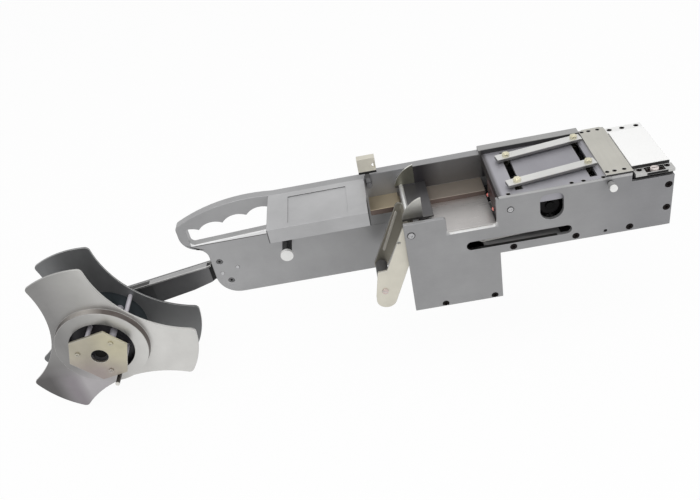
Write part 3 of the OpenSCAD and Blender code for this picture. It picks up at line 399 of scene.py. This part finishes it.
class FEEDER_OT_plates(bpy.types.Operator):
    """Finish the plates, the panel and the boxes that make the frame"""

    bl_idname = "feeder.plates"
    bl_label = "Plates"

    def execute(self, context):
        look = finish_values()
        self.dress_main_plate(look)
        self.dress_near_panel(look)
        self.dress_base(look)
        self.dress_control_box(look)
        dark = surface("dark_block", look.black, 0.45, 0.2)
        dress(dark, ["front_block", "dock_connector"], look.small_edge, highlighted=False)
        board = surface("board_green", look.board_green, 0.35, 0.0, fineness=300)
        dress(board, ["control_board"], look.small_edge, highlighted=False)
        return {"FINISHED"}

    def dress_main_plate(self, look):
        """Paints shade on the wall beside the trough, light on the plate's top and the floor of the
        grip, and a highlight and a shadow line at the grip's near edge.
        """
        low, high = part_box("main_plate")
        ledge, trough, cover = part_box("tape_ledge"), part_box("trough_floor"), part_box("cover_plate")
        rear_fade = low.x + 150 * MM
        top = high.z - 0.4 * MM
        wall = {"y_to": low.y + 0.2 * MM, "z_from": ledge[1].z + 0.2 * MM}
        trough_rear, cover_rear = trough[0].x - 1 * MM, cover[0].x - 1 * MM
        bracket_end = trough[0].x + 22 * MM
        floor_low, floor_high = 16.6 * MM, 22.4 * MM
        line_low = 15.7 * MM
        grip_start, line_start, grip_end = low.x + 10 * MM, low.x + 14 * MM, low.x + 112 * MM
        rim = 0.4 * MM
        plate = surface("main_grey", look.plate_grey, **GROUND_STEEL, patches=(
            patch(tone(164, 164, 165), 160, x_to=rear_fade),
            # Painted light on the plate's top face.
            patch(tone(166, 166, 165), x_from=ledge[0].x, x_to=cover[0].x, z_from=top),
            # Painted shade on the wall beside the trough: darkest by the bracket and beyond the ledge,
            # lighter behind the trough.
            patch(look.plate_shade, 1, x_from=trough_rear, x_to=cover_rear, **wall),
            patch(tone(56, 54, 57), (18, 0.3, 1), x_from=trough_rear, x_to=bracket_end, **wall),
            patch(tone(44, 43, 45), 1, x_from=ledge[1].x + 2 * MM, x_to=cover_rear, **wall),
            patch(tone(126, 127, 130), 1, x_from=ledge[0].x - 0.5 * MM, x_to=trough_rear, **wall),
            # Painted light on the floor of the grip, a painted highlight along its near edge and a
            # painted shadow line below it.
            patch(tone(168, 168, 168), x_from=grip_start, x_to=grip_end, y_from=low.y + rim,
                  y_to=high.y - rim, z_from=floor_low, z_to=floor_high),
            patch(tone(238, 238, 238), x_from=grip_start, x_to=grip_end, y_to=low.y + 1.5 * MM,
                  z_from=floor_low, z_to=floor_high),
            patch(tone(88, 88, 88), (2, 0.2, 0.2), x_from=line_start, x_to=grip_end,
                  y_to=low.y + SKIN, z_from=line_low, z_to=floor_low)))
        dress(plate, ["main_plate"], look.plate_edge, highlighted=False)

    def dress_near_panel(self, look):
        """Darkens the panel's front towards its front end, and paints shade on the walls of its long
        slot and light on the floor of its notch.
        """
        low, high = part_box("near_panel")
        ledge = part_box("tape_ledge")
        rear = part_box("base_plate")[0].x
        front_fade = high.x - 60 * MM
        slot_start, slot_end = rear - 31.5 * MM, rear + 67.5 * MM
        slot_low, slot_high = 8.5 * MM, 19 * MM
        notch_start, notch_end = ledge[1].x - 47 * MM, ledge[1].x + 1 * MM
        notch_low, notch_high = ledge[0].z - 0.6 * MM, ledge[0].z + 4.5 * MM
        rim = 0.1 * MM
        panel = surface("panel_grey", look.plate_grey, **GROUND_STEEL, patches=(
            patch(tone(136, 136, 138), 60, x_from=front_fade),
            # Painted shade on the walls of the long slot.
            patch(tone(38, 37, 37), x_from=slot_start, x_to=slot_end, y_from=low.y + 0.25 * MM,
                  z_from=slot_low, z_to=slot_high),
            # Painted light on the floor of the notch.
            patch(tone(236, 236, 235), x_from=notch_start, x_to=notch_end, y_from=low.y + rim,
                  y_to=high.y - rim, z_from=notch_low, z_to=notch_high)))
        dress(panel, ["near_panel"], 0.7 * look.plate_edge, highlighted=False)

    def dress_base(self, look):
        """Darkens the base plate's top in front of the pinch lever, where no light gets in."""
        top, lever_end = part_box("base_plate")[1].z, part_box("pinch_lever")[1].x
        depth = 0.4 * MM
        ground = surface("ground_grey", look.plate_grey, **GROUND_STEEL, patches=(
            patch(tone(30, 29, 29), x_from=lever_end, z_from=top - depth, z_to=top + depth),))
        dress(ground, ["base_plate", "dock_pan"], look.plate_edge)

    def dress_control_box(self, look):
        """Gives the lid's side its own tone, and paints shade in its recess and shadow lines at its two
        ends.
        """
        low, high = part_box("control_cover")
        side = low.y + SKIN
        end = 0.9 * MM
        recess_in, recess_across = 10 * MM, 5 * MM
        lid = surface("sheet_grey", look.lid_grey, **FOLDED_SHEET, patches=(
            patch(tone(178, 178, 179), y_to=side, z_to=high.z - SKIN),
            # Painted shade on the walls of the recess, and painted shadow lines on the lid's two ends.
            patch(tone(46, 46, 47), 0.1, x_from=low.x + recess_in, x_to=high.x - recess_in,
                  y_from=low.y + recess_across, y_to=high.y - recess_across,
                  z_from=high.z - 0.8 * MM, z_to=high.z - 0.15 * MM),
            patch(tone(62, 62, 63), (0.3, 8, 0.3), x_from=high.x - end, y_to=low.y + 24 * MM),
            patch(tone(84, 84, 85), x_to=low.x + end, y_to=side)))
        dress(lid, ["control_cover"], look.small_edge, highlighted=False)
        tray = surface("tray_grey", look.lid_grey, **FOLDED_SHEET)
        dress(tray, ["control_tray"], look.small_edge)


class FEEDER_OT_deck(bpy.types.Operator):
    """Finish the deck, the trough and what lies on them"""

    bl_idname = "feeder.deck"
    bl_label = "Deck and trough"

    def execute(self, context):
        look = finish_values()
        self.dress_deck(look)
        self.dress_bars(look)
        self.dress_trough(look)
        sensor = surface("sensor_dark", tone(44, 20, 20), 0.4, 0.0)
        dress(sensor, ["tape_sensor"], look.small_edge, highlighted=False)
        return {"FINISHED"}

    def dress_deck(self, look):
        """Darkens the deck round its slots, lightens its near edge, paints shade on its bend and lip,
        and paints shade on the near sides of the two plates on it.
        """
        low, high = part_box("deck_plate")
        cover_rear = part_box("cover_plate")[0].x
        bend, lip = low.x + 3.4 * MM, low.x + 0.9 * MM
        deck = surface("deck_satin", look.deck_grey, 0.42, 0.5, grain=(1, 0.05, 1), patches=(
            patch(tone(153, 152, 158), 8, x_from=low.x + 20 * MM, x_to=cover_rear,
                  y_from=low.y + 20 * MM, y_to=high.y - 16 * MM),
            # Painted shade on the bent rear edge and under its lip.
            patch(tone(92, 90, 92), 3, x_to=bend),
            patch(tone(184, 184, 184), y_to=low.y + 0.5 * MM),
            patch(tone(62, 60, 60), x_to=lip, z_to=high.z - 1.2 * MM)))
        dress(deck, ["deck_plate"], look.small_edge)
        low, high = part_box("cover_plate")
        cover = surface("cover_brushed", look.cover_warm, 0.36, 0.7, grain=(1, 0.03, 1),
                        streak=0.09, patches=(
                            # Painted shade on the cover's near side.
                            patch(tone(60, 59, 58), y_to=low.y + SKIN, z_to=high.z - SKIN),))
        dress(cover, ["cover_plate"], look.small_edge)
        low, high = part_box("peel_plate")
        peel = surface("peel_white", look.peel_white, 0.5, 0.0, streak=0.01, cloud=0.01, patches=(
            # Painted shade on the peel plate's near side.
            patch(tone(34, 33, 33), y_to=low.y + 0.25 * MM, z_to=high.z - 0.6 * MM),))
        dress(peel, ["peel_plate"], look.small_edge, highlighted=False)

    def dress_bars(self, look):
        """Finishes the guide rails and the two bars beside the peel plate, with painted shade on the
        rails' sides and in the near bar's pocket.
        """
        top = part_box("rail_far")[1].z
        rails = surface("rail_silver", tone(216, 216, 214), **BAR_STEEL, patches=(
            # Painted shade on the rails' sides below their bright tops.
            patch(tone(118, 117, 117), z_to=top - 0.6 * MM),))
        dress(rails, ["rail_far", "rail_near"], look.small_edge)
        far = surface("bar_white", tone(244, 244, 243), 0.42, 0.2, streak=0.02, cloud=0.02)
        dress(far, ["end_bar_far"], look.small_edge, highlighted=False)
        low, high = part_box("end_bar_near")
        recess_in, rim = 3 * MM, 0.4 * MM
        near = surface("bar_silver", look.bar_silver, **BAR_STEEL, patches=(
            # Painted shade in the near bar's pocket. Its front is blackened between the ends.
            patch(tone(48, 40, 37), x_from=low.x + recess_in, x_to=high.x - recess_in,
                  y_from=low.y + rim, y_to=high.y - rim, z_to=high.z - SKIN),
            patch(look.black, x_from=low.x + 10 * MM, x_to=high.x - 6 * MM, y_to=low.y + SKIN,
                  z_to=high.z - rim)))
        dress(near, ["end_bar_near"], look.small_edge)

    def dress_trough(self, look):
        """Finishes the trough's floor and the ledge beside it, with painted light, lighter and
        yellower, on the ledge behind the trough and painted shade on its near side.
        """
        sheet = surface("bright_sheet", look.bright, 0.32, 0.8, grain=(0.04, 1, 1), streak=0.02,
                        bump=0.005)
        dress(sheet, ["trough_floor"], look.small_edge)
        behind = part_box("trough_floor")[0].x
        low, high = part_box("tape_ledge")
        ledge = surface("ledge_satin", look.ledge_tan, 0.34, 0.7, grain=(0.04, 1, 1), patches=(
            # Painted light on the ledge behind the trough, and painted shade on its near side.
            patch(tone(190, 176, 150), 4, x_to=behind),
            patch(tone(112, 98, 92), y_to=low.y + SKIN, z_to=high.z - 0.4 * MM)))
        dress(ledge, ["tape_ledge"], look.small_edge, highlighted=False)


class FEEDER_OT_reel(bpy.types.Operator):
    """Finish the reel and its arm"""

    bl_idname = "feeder.reel"
    bl_label = "Reel"

    def execute(self, context):
        look = finish_values()
        low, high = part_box("reel_spindle")
        hub = (low + high) / 2
        self.dress_flanges(look, hub)
        self.dress_arm(look)
        self.dress_hub(look, hub)
        return {"FINISHED"}

    def dress_flanges(self, look, hub):
        """Paints reflections on the bare front flange from lobe to lobe, and shade and light on the
        wall of its boss.
        """
        low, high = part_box("front_flange")
        boss_wall = {"y_from": low.y + 0.5 * MM, "y_to": high.y - 2.25 * MM}
        front = surface("reel_silver", look.reel_silver, 0.36, 0.8, grain=(1, 1, 0.05), patches=(
            # Painted reflections: lighter to the right, darker to the left and lower left, with a
            # darker streak across the lower lobe.
            patch(tone(214, 213, 210), 70, x_from=hub.x + 30 * MM),
            patch(tone(138, 137, 136), 50, x_to=hub.x - 10 * MM),
            patch(tone(170, 167, 169), 26, x_to=hub.x - 5 * MM, z_to=hub.z - 32 * MM),
            patch(tone(96, 94, 94), 34, x_to=hub.x - 56 * MM, z_to=hub.z - 18 * MM),
            patch(tone(136, 130, 135), 16, x_from=hub.x - 58 * MM, x_to=hub.x - 46 * MM,
                  z_to=hub.z - 36 * MM),
            # Painted shade on the wall of the boss, with painted light on its upper part.
            patch(tone(106, 99, 96), **boss_wall),
            patch(tone(204, 199, 194), (18, 0.3, 18), x_from=hub.x - 24 * MM, x_to=hub.x + 8 * MM,
                  z_from=hub.z, **boss_wall)))
        dress(front, ["front_flange"], look.small_edge)
        # The rear flange is the reel's metal darkened as painted shade, for its face that looks into
        # the reel.
        rear = surface("reel_dark", look.reel_dark, 0.40, 0.6, grain=(1, 1, 0.05))
        dress(rear, ["rear_flange"], look.small_edge)

    def dress_arm(self, look):
        """Paints light on the arm's top flange, darkens its end and paints a shadow in the gap at its
        joint with the plate.
        """
        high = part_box("reel_arm")[1]
        flange = high.y - 3.2 * MM
        arm = surface("arm_satin", look.arm_grey, 0.40, 0.6, grain=(0.05, 1, 1), patches=(
            # Painted light on the top flange, a darker far end, and a painted shadow in the gap by the
            # plate.
            patch(tone(168, 168, 168), y_to=flange),
            patch(tone(58, 57, 57), 1, x_to=high.x - 104 * MM, y_to=flange),
            patch(tone(28, 28, 28), 0.6, x_from=high.x - 38 * MM, x_to=high.x - 33.5 * MM,
                  y_to=high.y - 2 * MM)))
        dress(arm, ["reel_arm"], look.plate_edge)

    def dress_hub(self, look, hub):
        """Finishes what turns round the spindle, and the spindle itself."""
        plate = surface("hub_zinc", look.hub_zinc, 0.34, 0.75, streak=0.06, cloud=0.12, patches=(
            # Painted shade on the lower left of the hub plate and painted light on its upper right.
            patch(tone(160, 150, 146), 26, x_to=hub.x + 8 * MM, z_to=hub.z - 6 * MM),
            patch(tone(196, 190, 166), 22, x_from=hub.x + 4 * MM, z_from=hub.z - 8 * MM)))
        dress(plate, ["hub_plate", "hub_screws"], look.small_edge)
        dark = surface("hub_black", tone(40, 38, 44), 0.42, 0.1)
        dress(dark, ["hub_spider"], look.small_edge, highlighted=False)
        disc = surface("disc_dark", tone(74, 82, 86), 0.36, 0.3, cloud=0.12)
        dress(disc, ["hub_disc"], look.plate_edge)
        # The rods' light tone is painted light that lifts them in the dark hub. Their lower part has
        # painted shade and their front ends are lighter.
        rod_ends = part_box("hub_rods")[0].y + 1 * MM
        rods = surface("hub_turned", tone(196, 192, 199), 0.34, 0.2, grain=(1, 0.2, 1), bump=0.02,
                       patches=(patch(tone(62, 59, 56), z_to=hub.z - 32 * MM),
                                patch(tone(226, 224, 218), y_to=rod_ends)))
        dress(rods, ["hub_rods"], look.small_edge)
        # The spindle is near black as painted shade, for the depth of the hub's hole.
        shaft = surface("spindle_dark", tone(18, 17, 16), 0.6, 0.0, grain=(1, 0.2, 1), shine=0.1)
        dress(shaft, ["reel_spindle"], look.small_edge, highlighted=False)


class FEEDER_OT_tape_path(bpy.types.Operator):
    """Finish the entry bracket, the swing arms, the latch and the drive"""

    bl_idname = "feeder.tape_path"
    bl_label = "Tape path"

    def execute(self, context):
        look = finish_values()
        self.dress_bracket(look)
        self.dress_dancer(look)
        self.dress_latch(look)
        self.dress_drive(look)
        return {"FINISHED"}

    def dress_bracket(self, look):
        """Tells the bright ears and front edge of the bracket from its dark tray."""
        low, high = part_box("entry_bracket")
        near_ear, far_ear, tray = low.y + 2.2 * MM, high.y - 2.2 * MM, low.z + 3 * MM
        bracket = surface("bracket_dark", look.bracket_dark, 0.34, 0.7, grain=(1, 0.05, 1), patches=(
            patch(tone(188, 187, 182), y_to=near_ear, z_from=tray),
            patch(tone(96, 95, 92), (8, 0.3, 8), y_to=near_ear, z_from=tray, z_to=low.z + 7 * MM),
            patch(tone(118, 117, 106), y_from=far_ear, z_from=tray),
            patch(tone(226, 225, 220), y_from=high.y - 1.8 * MM, z_from=tray),
            patch(tone(228, 228, 226), x_to=low.x + 7.7 * MM, y_from=near_ear, y_to=far_ear,
                  z_to=low.z + 4.2 * MM)))
        dress(bracket, ["entry_bracket"], look.small_edge, highlighted=False)

    def dress_dancer(self, look):
        """Finishes the swing arms, with the far arm's rib and the axle's head picked out."""
        zinc = surface("arm_zinc", look.zinc, **ZINC_PLATED)
        dress(zinc, ["dancer_arm_near"], look.small_edge)
        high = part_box("dancer_arm_far")[1]
        face = high.y - 2 * MM
        shaded = surface("arm_shaded", tone(142, 138, 127), 0.42, 0.55, grain=(1, 1, 0.05), patches=(
            patch(tone(196, 192, 182), 0.15, x_to=high.x - 12 * MM, y_from=face - 1.3 * MM,
                  y_to=face - 0.15 * MM),))
        dress(shaded, ["dancer_arm_far"], look.small_edge)
        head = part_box("dancer_axle")[0].y + 1.2 * MM
        axle = surface("axle_turned", look.turned, **TURNED_STEEL, patches=(
            patch(tone(206, 190, 184), y_to=head),))
        dress(axle, ["dancer_axle"], look.small_edge)
        roller = surface("roller_grey", tone(102, 101, 101), 0.6, 0.0, fineness=500, bump=0.1)
        dress(roller, ["dancer_roller"], look.small_edge, highlighted=False)

    def dress_latch(self, look):
        """Darkens the latch below its tab, which stands over the main plate's top."""
        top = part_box("main_plate")[1].z
        latch = surface("latch_zinc", look.zinc, **ZINC_PLATED, patches=(
            patch(tone(92, 92, 92), z_to=top),
            patch(tone(126, 126, 128), 2, z_to=top - 5 * MM),
            patch(look.black, z_from=top - 0.4 * MM, z_to=top + 2.5 * MM)))
        dress(latch, ["latch_lever"], look.small_edge, highlighted=False)
        pin = surface("latch_pin_grey", tone(112, 112, 114), 0.4, 0.4)
        dress(pin, ["latch_pin"], look.small_edge, highlighted=False)

    def dress_drive(self, look):
        """Finishes the pinch lever, the rollers, the motor and their pins."""
        lever_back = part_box("pinch_lever")[0].z + 12 * MM
        # The lever's near white tone is painted light, which lifts it in the dim slot. Its upper part
        # is black.
        lever = surface("lever_grey", tone(240, 238, 234), 0.4, 0.1, grain=(0.05, 1, 1), cloud=0.12,
                        patches=(patch(look.black, z_from=lever_back),))
        dress(lever, ["pinch_lever"], look.small_edge, highlighted=False)
        turned = surface("turned_steel", look.turned, **TURNED_STEEL)
        dress(turned, ["dancer_pin", "pinch_pin", "return_pin", "motor_posts", "motor_pulley",
                       "return_roller"], look.small_edge)
        # Painted shade on the shaft's near end, seen through the D-shaped window in the panel.
        shaft_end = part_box("drive_shaft")[0].y + 3 * MM
        dull = surface("shaft_dark", tone(120, 119, 118), 0.5, 0.3, grain=(1, 0.1, 1), shine=0.1,
                       patches=(patch(tone(14, 14, 14), y_to=shaft_end),))
        dress(dull, ["drive_shaft"], look.small_edge, highlighted=False)
        rubber = surface("rubber_black", look.black, 0.7, 0.0, fineness=500, bump=0.1, shine=0.15)
        dress(rubber, ["drive_sleeve", "drive_belt", "pinch_roller"], look.small_edge, highlighted=False)
        motor = surface("motor_black", look.black, 0.4, 0.3)
        dress(motor, ["drive_motor"], look.small_edge, highlighted=False)
        bush = surface("bush_brass", look.brass, 0.3, 0.9)
        dress(bush, ["drive_bush"], look.small_edge)


class FEEDER_OT_fasteners(bpy.types.Operator):
    """Finish the screws, dowels, studs and knobs"""

    bl_idname = "feeder.fasteners"
    bl_label = "Fasteners and knobs"

    def execute(self, context):
        look = finish_values()
        self.dress_screws(look)
        self.dress_knobs(look)
        return {"FINISHED"}

    def dress_screws(self, look):
        """Finishes the screws, the dowels and the rails' studs."""
        oxide = surface("black_oxide", tone(15, 9, 9), 0.5, 0.0, cloud=0.1, shine=0.12)
        dress(oxide, ["panel_screws", "deck_screws", "cover_screws", "end_screws"],
              look.small_edge, highlighted=False)
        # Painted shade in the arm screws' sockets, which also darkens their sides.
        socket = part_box("arm_screws")[0].y + 0.5 * MM
        heads = surface("arm_screw_grey", tone(104, 104, 105), 0.4, 0.4, patches=(
            patch(tone(22, 21, 21), y_from=socket),))
        dress(heads, ["arm_screws"], look.small_edge, highlighted=False)
        pins = surface("dowel_steel", look.turned, 0.26, 0.9)
        dress(pins, ["arm_dowels"], look.small_edge)
        # Painted shade on the studs below the nuts, down in the deck's slots.
        nut_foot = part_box("rail_far_studs")[1].z - 6.9 * MM
        nuts = surface("nut_pale", look.nut_pale, 0.30, 0.7, cloud=0.12, patches=(
            patch(tone(52, 50, 46), z_to=nut_foot),))
        dress(nuts, ["rail_far_studs", "rail_near_studs"], look.small_edge, highlighted=False)

    def dress_knobs(self, look):
        """Finishes the pull knob, the thumb screw and the slotted dial."""
        shank = surface("shank_black", look.black, 0.45, 0.1)
        dress(shank, ["pull_knob"], look.small_edge, highlighted=False)
        pale = surface("knob_pale", look.knob_pale, **PALE_PLASTIC)
        dress(pale, ["pull_cap"], look.small_edge, highlighted=False)
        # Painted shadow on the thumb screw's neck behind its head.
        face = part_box("thumb_screw")[0].y
        thumb = surface("thumb_pale", look.knob_pale, **PALE_PLASTIC, patches=(
            patch(tone(150, 150, 150), y_from=face + 1.8 * MM),
            patch(tone(52, 50, 49), y_from=face + 9 * MM)))
        dress(thumb, ["thumb_screw"], look.small_edge, highlighted=False)
        # Painted shade in the dial's slot.
        low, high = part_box("adjuster_dial")
        middle, half_slot, rim = (low.y + high.y) / 2, 0.55 * MM, 0.5 * MM
        dial = surface("dial_pale", tone(228, 218, 214), **PALE_PLASTIC, patches=(
            patch(tone(48, 40, 40), 0.1, x_from=low.x + rim, x_to=high.x - rim,
                  y_from=middle - half_slot, y_to=middle + half_slot, z_to=high.z - 0.1 * MM),))
        dress(dial, ["adjuster_dial"], look.small_edge, highlighted=False)


class FEEDER_OT_sensor_lenses(bpy.types.Operator):
    """Model the two red lenses on the sensor at the deck's rear edge"""

    bl_idname = "feeder.sensor_lenses"
    bl_label = "Sensor lenses"

    def execute(self, context):
        low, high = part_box("tape_sensor")
        glass = surface("lens_red", finish_values().lens_red, 0.12, 0.0, streak=0.02, fineness=200)
        glass.node_tree.nodes["Principled BSDF"].inputs["Coat Weight"].default_value = 0.6
        middle = high.z - 12.5 * MM
        for number, across in enumerate((4 * MM, 28 * MM)):
            self.make_lens("sensor_lens_%d" % (number + 1), low.x, low.y + across, middle, glass)
        return {"FINISHED"}

    def make_lens(self, name, rear, across, middle, glass):
        """A domed lens in a stepped rim, on the round nub of the sensor."""
        radius, depth, sunk, rim = 1.9 * MM, 0.5 * MM, 0.2 * MM, 0.3 * MM
        dome = ((0.35 * MM, 0.86), (0.25 * MM, 0.74), (0.15 * MM, 0.5))
        lens = add_disc(32, radius, depth, (rear - sunk, across, middle), (0, math.radians(90), 0))
        select_faces(lens, lambda normal, centre: normal.x < -0.9)
        bpy.ops.mesh.inset(thickness=rim)
        for rise, width in dome:
            pull_faces(-rise)
            bpy.ops.transform.resize(value=(1, width, width))
        settle(lens, name, glass, "frame", 0.06 * MM)


class FEEDER_OT_thumb_grip(bpy.types.Operator):
    """Model the grooved grip round the head of the thumb screw"""

    bl_idname = "feeder.thumb_grip"
    bl_label = "Thumb grip"

    def execute(self, context):
        low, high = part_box("thumb_screw")
        head, bare, proud, rim = 6 * MM, 3.6 * MM, 0.12 * MM, 0.08 * MM
        sides, depth = 48, 0.955
        radius = (high.x - low.x) / 2
        middle = (low + high) / 2
        place = (middle.x, low.y + head / 2, middle.z)
        grip = add_disc(sides, radius + proud, head - bare, place, (math.radians(90), 0, 0))

        def groove(normal, centre):
            angle = math.atan2(centre.z - middle.z, centre.x - middle.x)
            side = math.floor(angle / (2 * math.pi) * sides + sides)
            return abs(normal.y) < 0.5 and side % 2 == 0

        select_faces(grip, groove)
        bpy.ops.mesh.inset(thickness=rim, use_individual=True)
        bpy.ops.transform.resize(value=(depth, 1, depth), center_override=place)
        steel = surface("grip_steel", tone(150, 150, 150), 0.45, 0.4, streak=0.03, cloud=0.04)
        settle(grip, "thumb_grip", steel, "thumb", 0.05 * MM)
        return {"FINISHED"}


class FEEDER_OT_dock_contacts(bpy.types.Operator):
    """Model the two rows of contacts inside the dock connector"""

    bl_idname = "feeder.dock_contacts"
    bl_label = "Dock contacts"

    def execute(self, context):
        low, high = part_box("dock_connector")
        gold = surface("contact_gold", tone(206, 170, 92), 0.24, 0.95, grain=(0.1, 1, 1))
        rows, row_length = 2, 7
        pitch, row_gap, socket_depth = 3 * MM, 5 * MM, 5 * MM
        middle = (low + high) / 2
        first = self.make_contact(high.x - socket_depth, middle.y - (row_length - 1) / 2 * pitch,
                                  middle.z - (rows - 1) / 2 * row_gap)
        for number in range(rows * row_length):
            row, place = divmod(number, row_length)
            piece = first
            if number:
                piece = first.copy()
                piece.data = first.data.copy()
                bpy.context.scene.collection.objects.link(piece)
                step = Vector((0, pitch * place, row_gap * row))
                piece.data.transform(Matrix.Translation(step))
            name = "dock_contact_%d" % (number + 1)
            piece.name = name
            piece.data.name = name
            piece.data.materials.clear()
            piece.data.materials.append(gold)
            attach(piece, "frame")
        return {"FINISHED"}

    def make_contact(self, floor, across, height):
        """A flat blade with a tapered tip, standing on the floor of the socket."""
        thick, reach, tip, taper = 1 * MM, 1.6 * MM, 0.9 * MM, 0.45
        start_fresh()
        bpy.ops.mesh.primitive_cube_add(size=thick, location=(floor + thick / 2, across, height))
        blade = bpy.context.object
        bpy.ops.object.mode_set(mode="EDIT")
        select_faces(blade, lambda normal, centre: normal.x > 0.9)
        pull_faces(reach)
        pull_faces(tip)
        bpy.ops.transform.resize(value=(1, taper, taper))
        bpy.ops.object.mode_set(mode="OBJECT")
        bpy.ops.object.transform_apply(location=True, rotation=True, scale=True)
        bpy.ops.object.shade_smooth_by_angle(angle=BLADE_SMOOTH_ANGLE)
        return blade


class FEEDER_OT_stage(bpy.types.Operator):
    """Lay the floor, hang the lamps and set the camera"""

    bl_idname = "feeder.stage"
    bl_label = "Stage"

    def execute(self, context):
        stage = stage_values()
        scene = context.scene
        scene.view_settings.view_transform = "Standard"
        self.lay_floor(stage)
        self.light_world(scene, stage)
        middle = (CAD_BOX[0] + CAD_BOX[1]) / 2
        self.hang_lamp("key_lamp", middle, KEY_AWAY, KEY_SIZE, stage.key_power)
        self.hang_lamp("side_lamp", middle, SIDE_AWAY, SIDE_SIZE, stage.side_power)
        self.set_camera(scene, stage)
        return {"FINISHED"}

    def lay_floor(self, stage):
        """A pale floor that keeps the part's shadow and looks white."""
        start_fresh()
        bpy.ops.mesh.primitive_plane_add(size=FLOOR_SIZE, location=(0, 0, CAD_BOX[0].z - FLOOR_GAP))
        floor = bpy.context.object
        floor.name = "studio_floor"
        bpy.ops.object.transform_apply(location=True, rotation=True, scale=True)
        material = bpy.data.materials.new("studio_floor")
        material.use_nodes = True
        tree = material.node_tree
        shader = tree.nodes["Principled BSDF"]
        shader.inputs["Base Color"].default_value = (*stage.floor_tone, 1)
        shader.inputs["Roughness"].default_value = 0.9
        shader.inputs["Specular IOR Level"].default_value = 0.1
        glow = tree.nodes.new("ShaderNodeEmission")
        show_white(tree, FLOOR_GLOW, shader.outputs["BSDF"], glow.outputs["Emission"],
                   "Material Output")
        floor.data.materials.append(material)

    def light_world(self, scene, stage):
        """Soft light from all round, before a white background."""
        world = bpy.data.worlds.new("studio")
        world.use_nodes = True
        scene.world = world
        tree = world.node_tree
        soft = tree.nodes["Background"]
        white = tree.nodes.new("ShaderNodeBackground")
        for node, strength in ((soft, stage.ambient), (white, 1)):
            node.inputs["Color"].default_value = (1, 1, 1, 1)
            node.inputs["Strength"].default_value = strength
        show_white(tree, 1.0, soft.outputs["Background"], white.outputs["Background"], "World Output")

    def hang_lamp(self, name, middle, away, size, power):
        """A square lamp that faces the middle of the part."""
        lamp = bpy.data.lights.new(name, "AREA")
        lamp.size = size
        lamp.energy = power
        holder = bpy.data.objects.new(name, lamp)
        holder.location = middle + away
        holder.rotation_mode = "QUATERNION"
        holder.rotation_quaternion = (-away).to_track_quat("-Z", "Y")
        bpy.context.scene.collection.objects.link(holder)

    def set_camera(self, scene, stage):
        """A camera at its place, turned by its azimuth, elevation and roll."""
        up_tilt, round_turn = stage.elevation, stage.azimuth
        back = Vector((math.sin(round_turn) * math.cos(up_tilt),
                       -math.cos(round_turn) * math.cos(up_tilt), math.sin(up_tilt)))
        level = (-back).cross(Vector((0, 0, 1))).normalized()
        upright = level.cross(-back)
        turn_cos, turn_sin = math.cos(stage.roll), math.sin(stage.roll)
        right = level * turn_cos + upright * turn_sin
        up = upright * turn_cos - level * turn_sin
        lens = bpy.data.cameras.new("camera")
        lens.lens = stage.lens
        lens.sensor_width = SENSOR_WIDTH
        lens.shift_x, lens.shift_y = stage.shift
        lens.clip_start = CLIP_START
        camera = bpy.data.objects.new("camera", lens)
        turn = Matrix((right, up, back)).transposed().to_4x4()
        camera.matrix_world = Matrix.Translation(stage.camera_place) @ turn
        scene.collection.objects.link(camera)
        scene.camera = camera


def show_white(tree, share, lit, white, output):
    """Shows white, by its share, to camera, glossy and transmission rays, and lit to the rest."""
    rays = tree.nodes.new("ShaderNodeLightPath")
    seen = rays.outputs["Is Camera Ray"]
    for name in ("Is Glossy Ray", "Is Transmission Ray"):
        seen = combined(tree, "MAXIMUM", seen, rays.outputs[name])
    part = tree.nodes.new("ShaderNodeMath")
    part.operation = "MULTIPLY"
    part.inputs[1].default_value = share
    tree.links.new(seen, part.inputs[0])
    mix = tree.nodes.new("ShaderNodeMixShader")
    tree.links.new(part.outputs["Value"], mix.inputs["Fac"])
    tree.links.new(lit, mix.inputs[1])
    tree.links.new(white, mix.inputs[2])
    tree.links.new(mix.outputs["Shader"], tree.nodes[output].inputs["Surface"])


STEPS = (FEEDER_OT_plates, FEEDER_OT_deck, FEEDER_OT_reel, FEEDER_OT_tape_path,
         FEEDER_OT_fasteners, FEEDER_OT_sensor_lenses, FEEDER_OT_thumb_grip,
         FEEDER_OT_dock_contacts, FEEDER_OT_stage)


class FEEDER_PT_panel(bpy.types.Panel):
    """Lists the steps that dress the feeder"""

    bl_idname = "FEEDER_PT_panel"
    bl_label = "Label feeder"
    bl_space_type = "VIEW_3D"
    bl_region_type = "UI"
    bl_category = "Feeder"

    def draw(self, context):
        for step in STEPS:
            self.layout.operator(step.bl_idname, text=step.bl_label)


CLASSES = (FeederFinish, FeederStage, *STEPS, FEEDER_PT_panel)


def register():
    """Makes the settings, operators and panel known."""
    for cls in CLASSES:
        bpy.utils.register_class(cls)
    bpy.types.Scene.feeder_finish = bpy.props.PointerProperty(type=FeederFinish)
    bpy.types.Scene.feeder_stage = bpy.props.PointerProperty(type=FeederStage)


def unregister():
    """Takes the settings, operators and panel away."""
    del bpy.types.Scene.feeder_stage
    del bpy.types.Scene.feeder_finish
    for cls in reversed(CLASSES):
        bpy.utils.unregister_class(cls)


def main():
    """Dresses the feeder step by step."""
    register()
    bpy.ops.feeder.plates()
    bpy.ops.feeder.deck()
    bpy.ops.feeder.reel()
    bpy.ops.feeder.tape_path()
    bpy.ops.feeder.fasteners()
    bpy.ops.feeder.sensor_lenses()
    bpy.ops.feeder.thumb_grip()
    bpy.ops.feeder.dock_contacts()
    bpy.ops.feeder.stage()


if __name__ == "__main__":
    main()
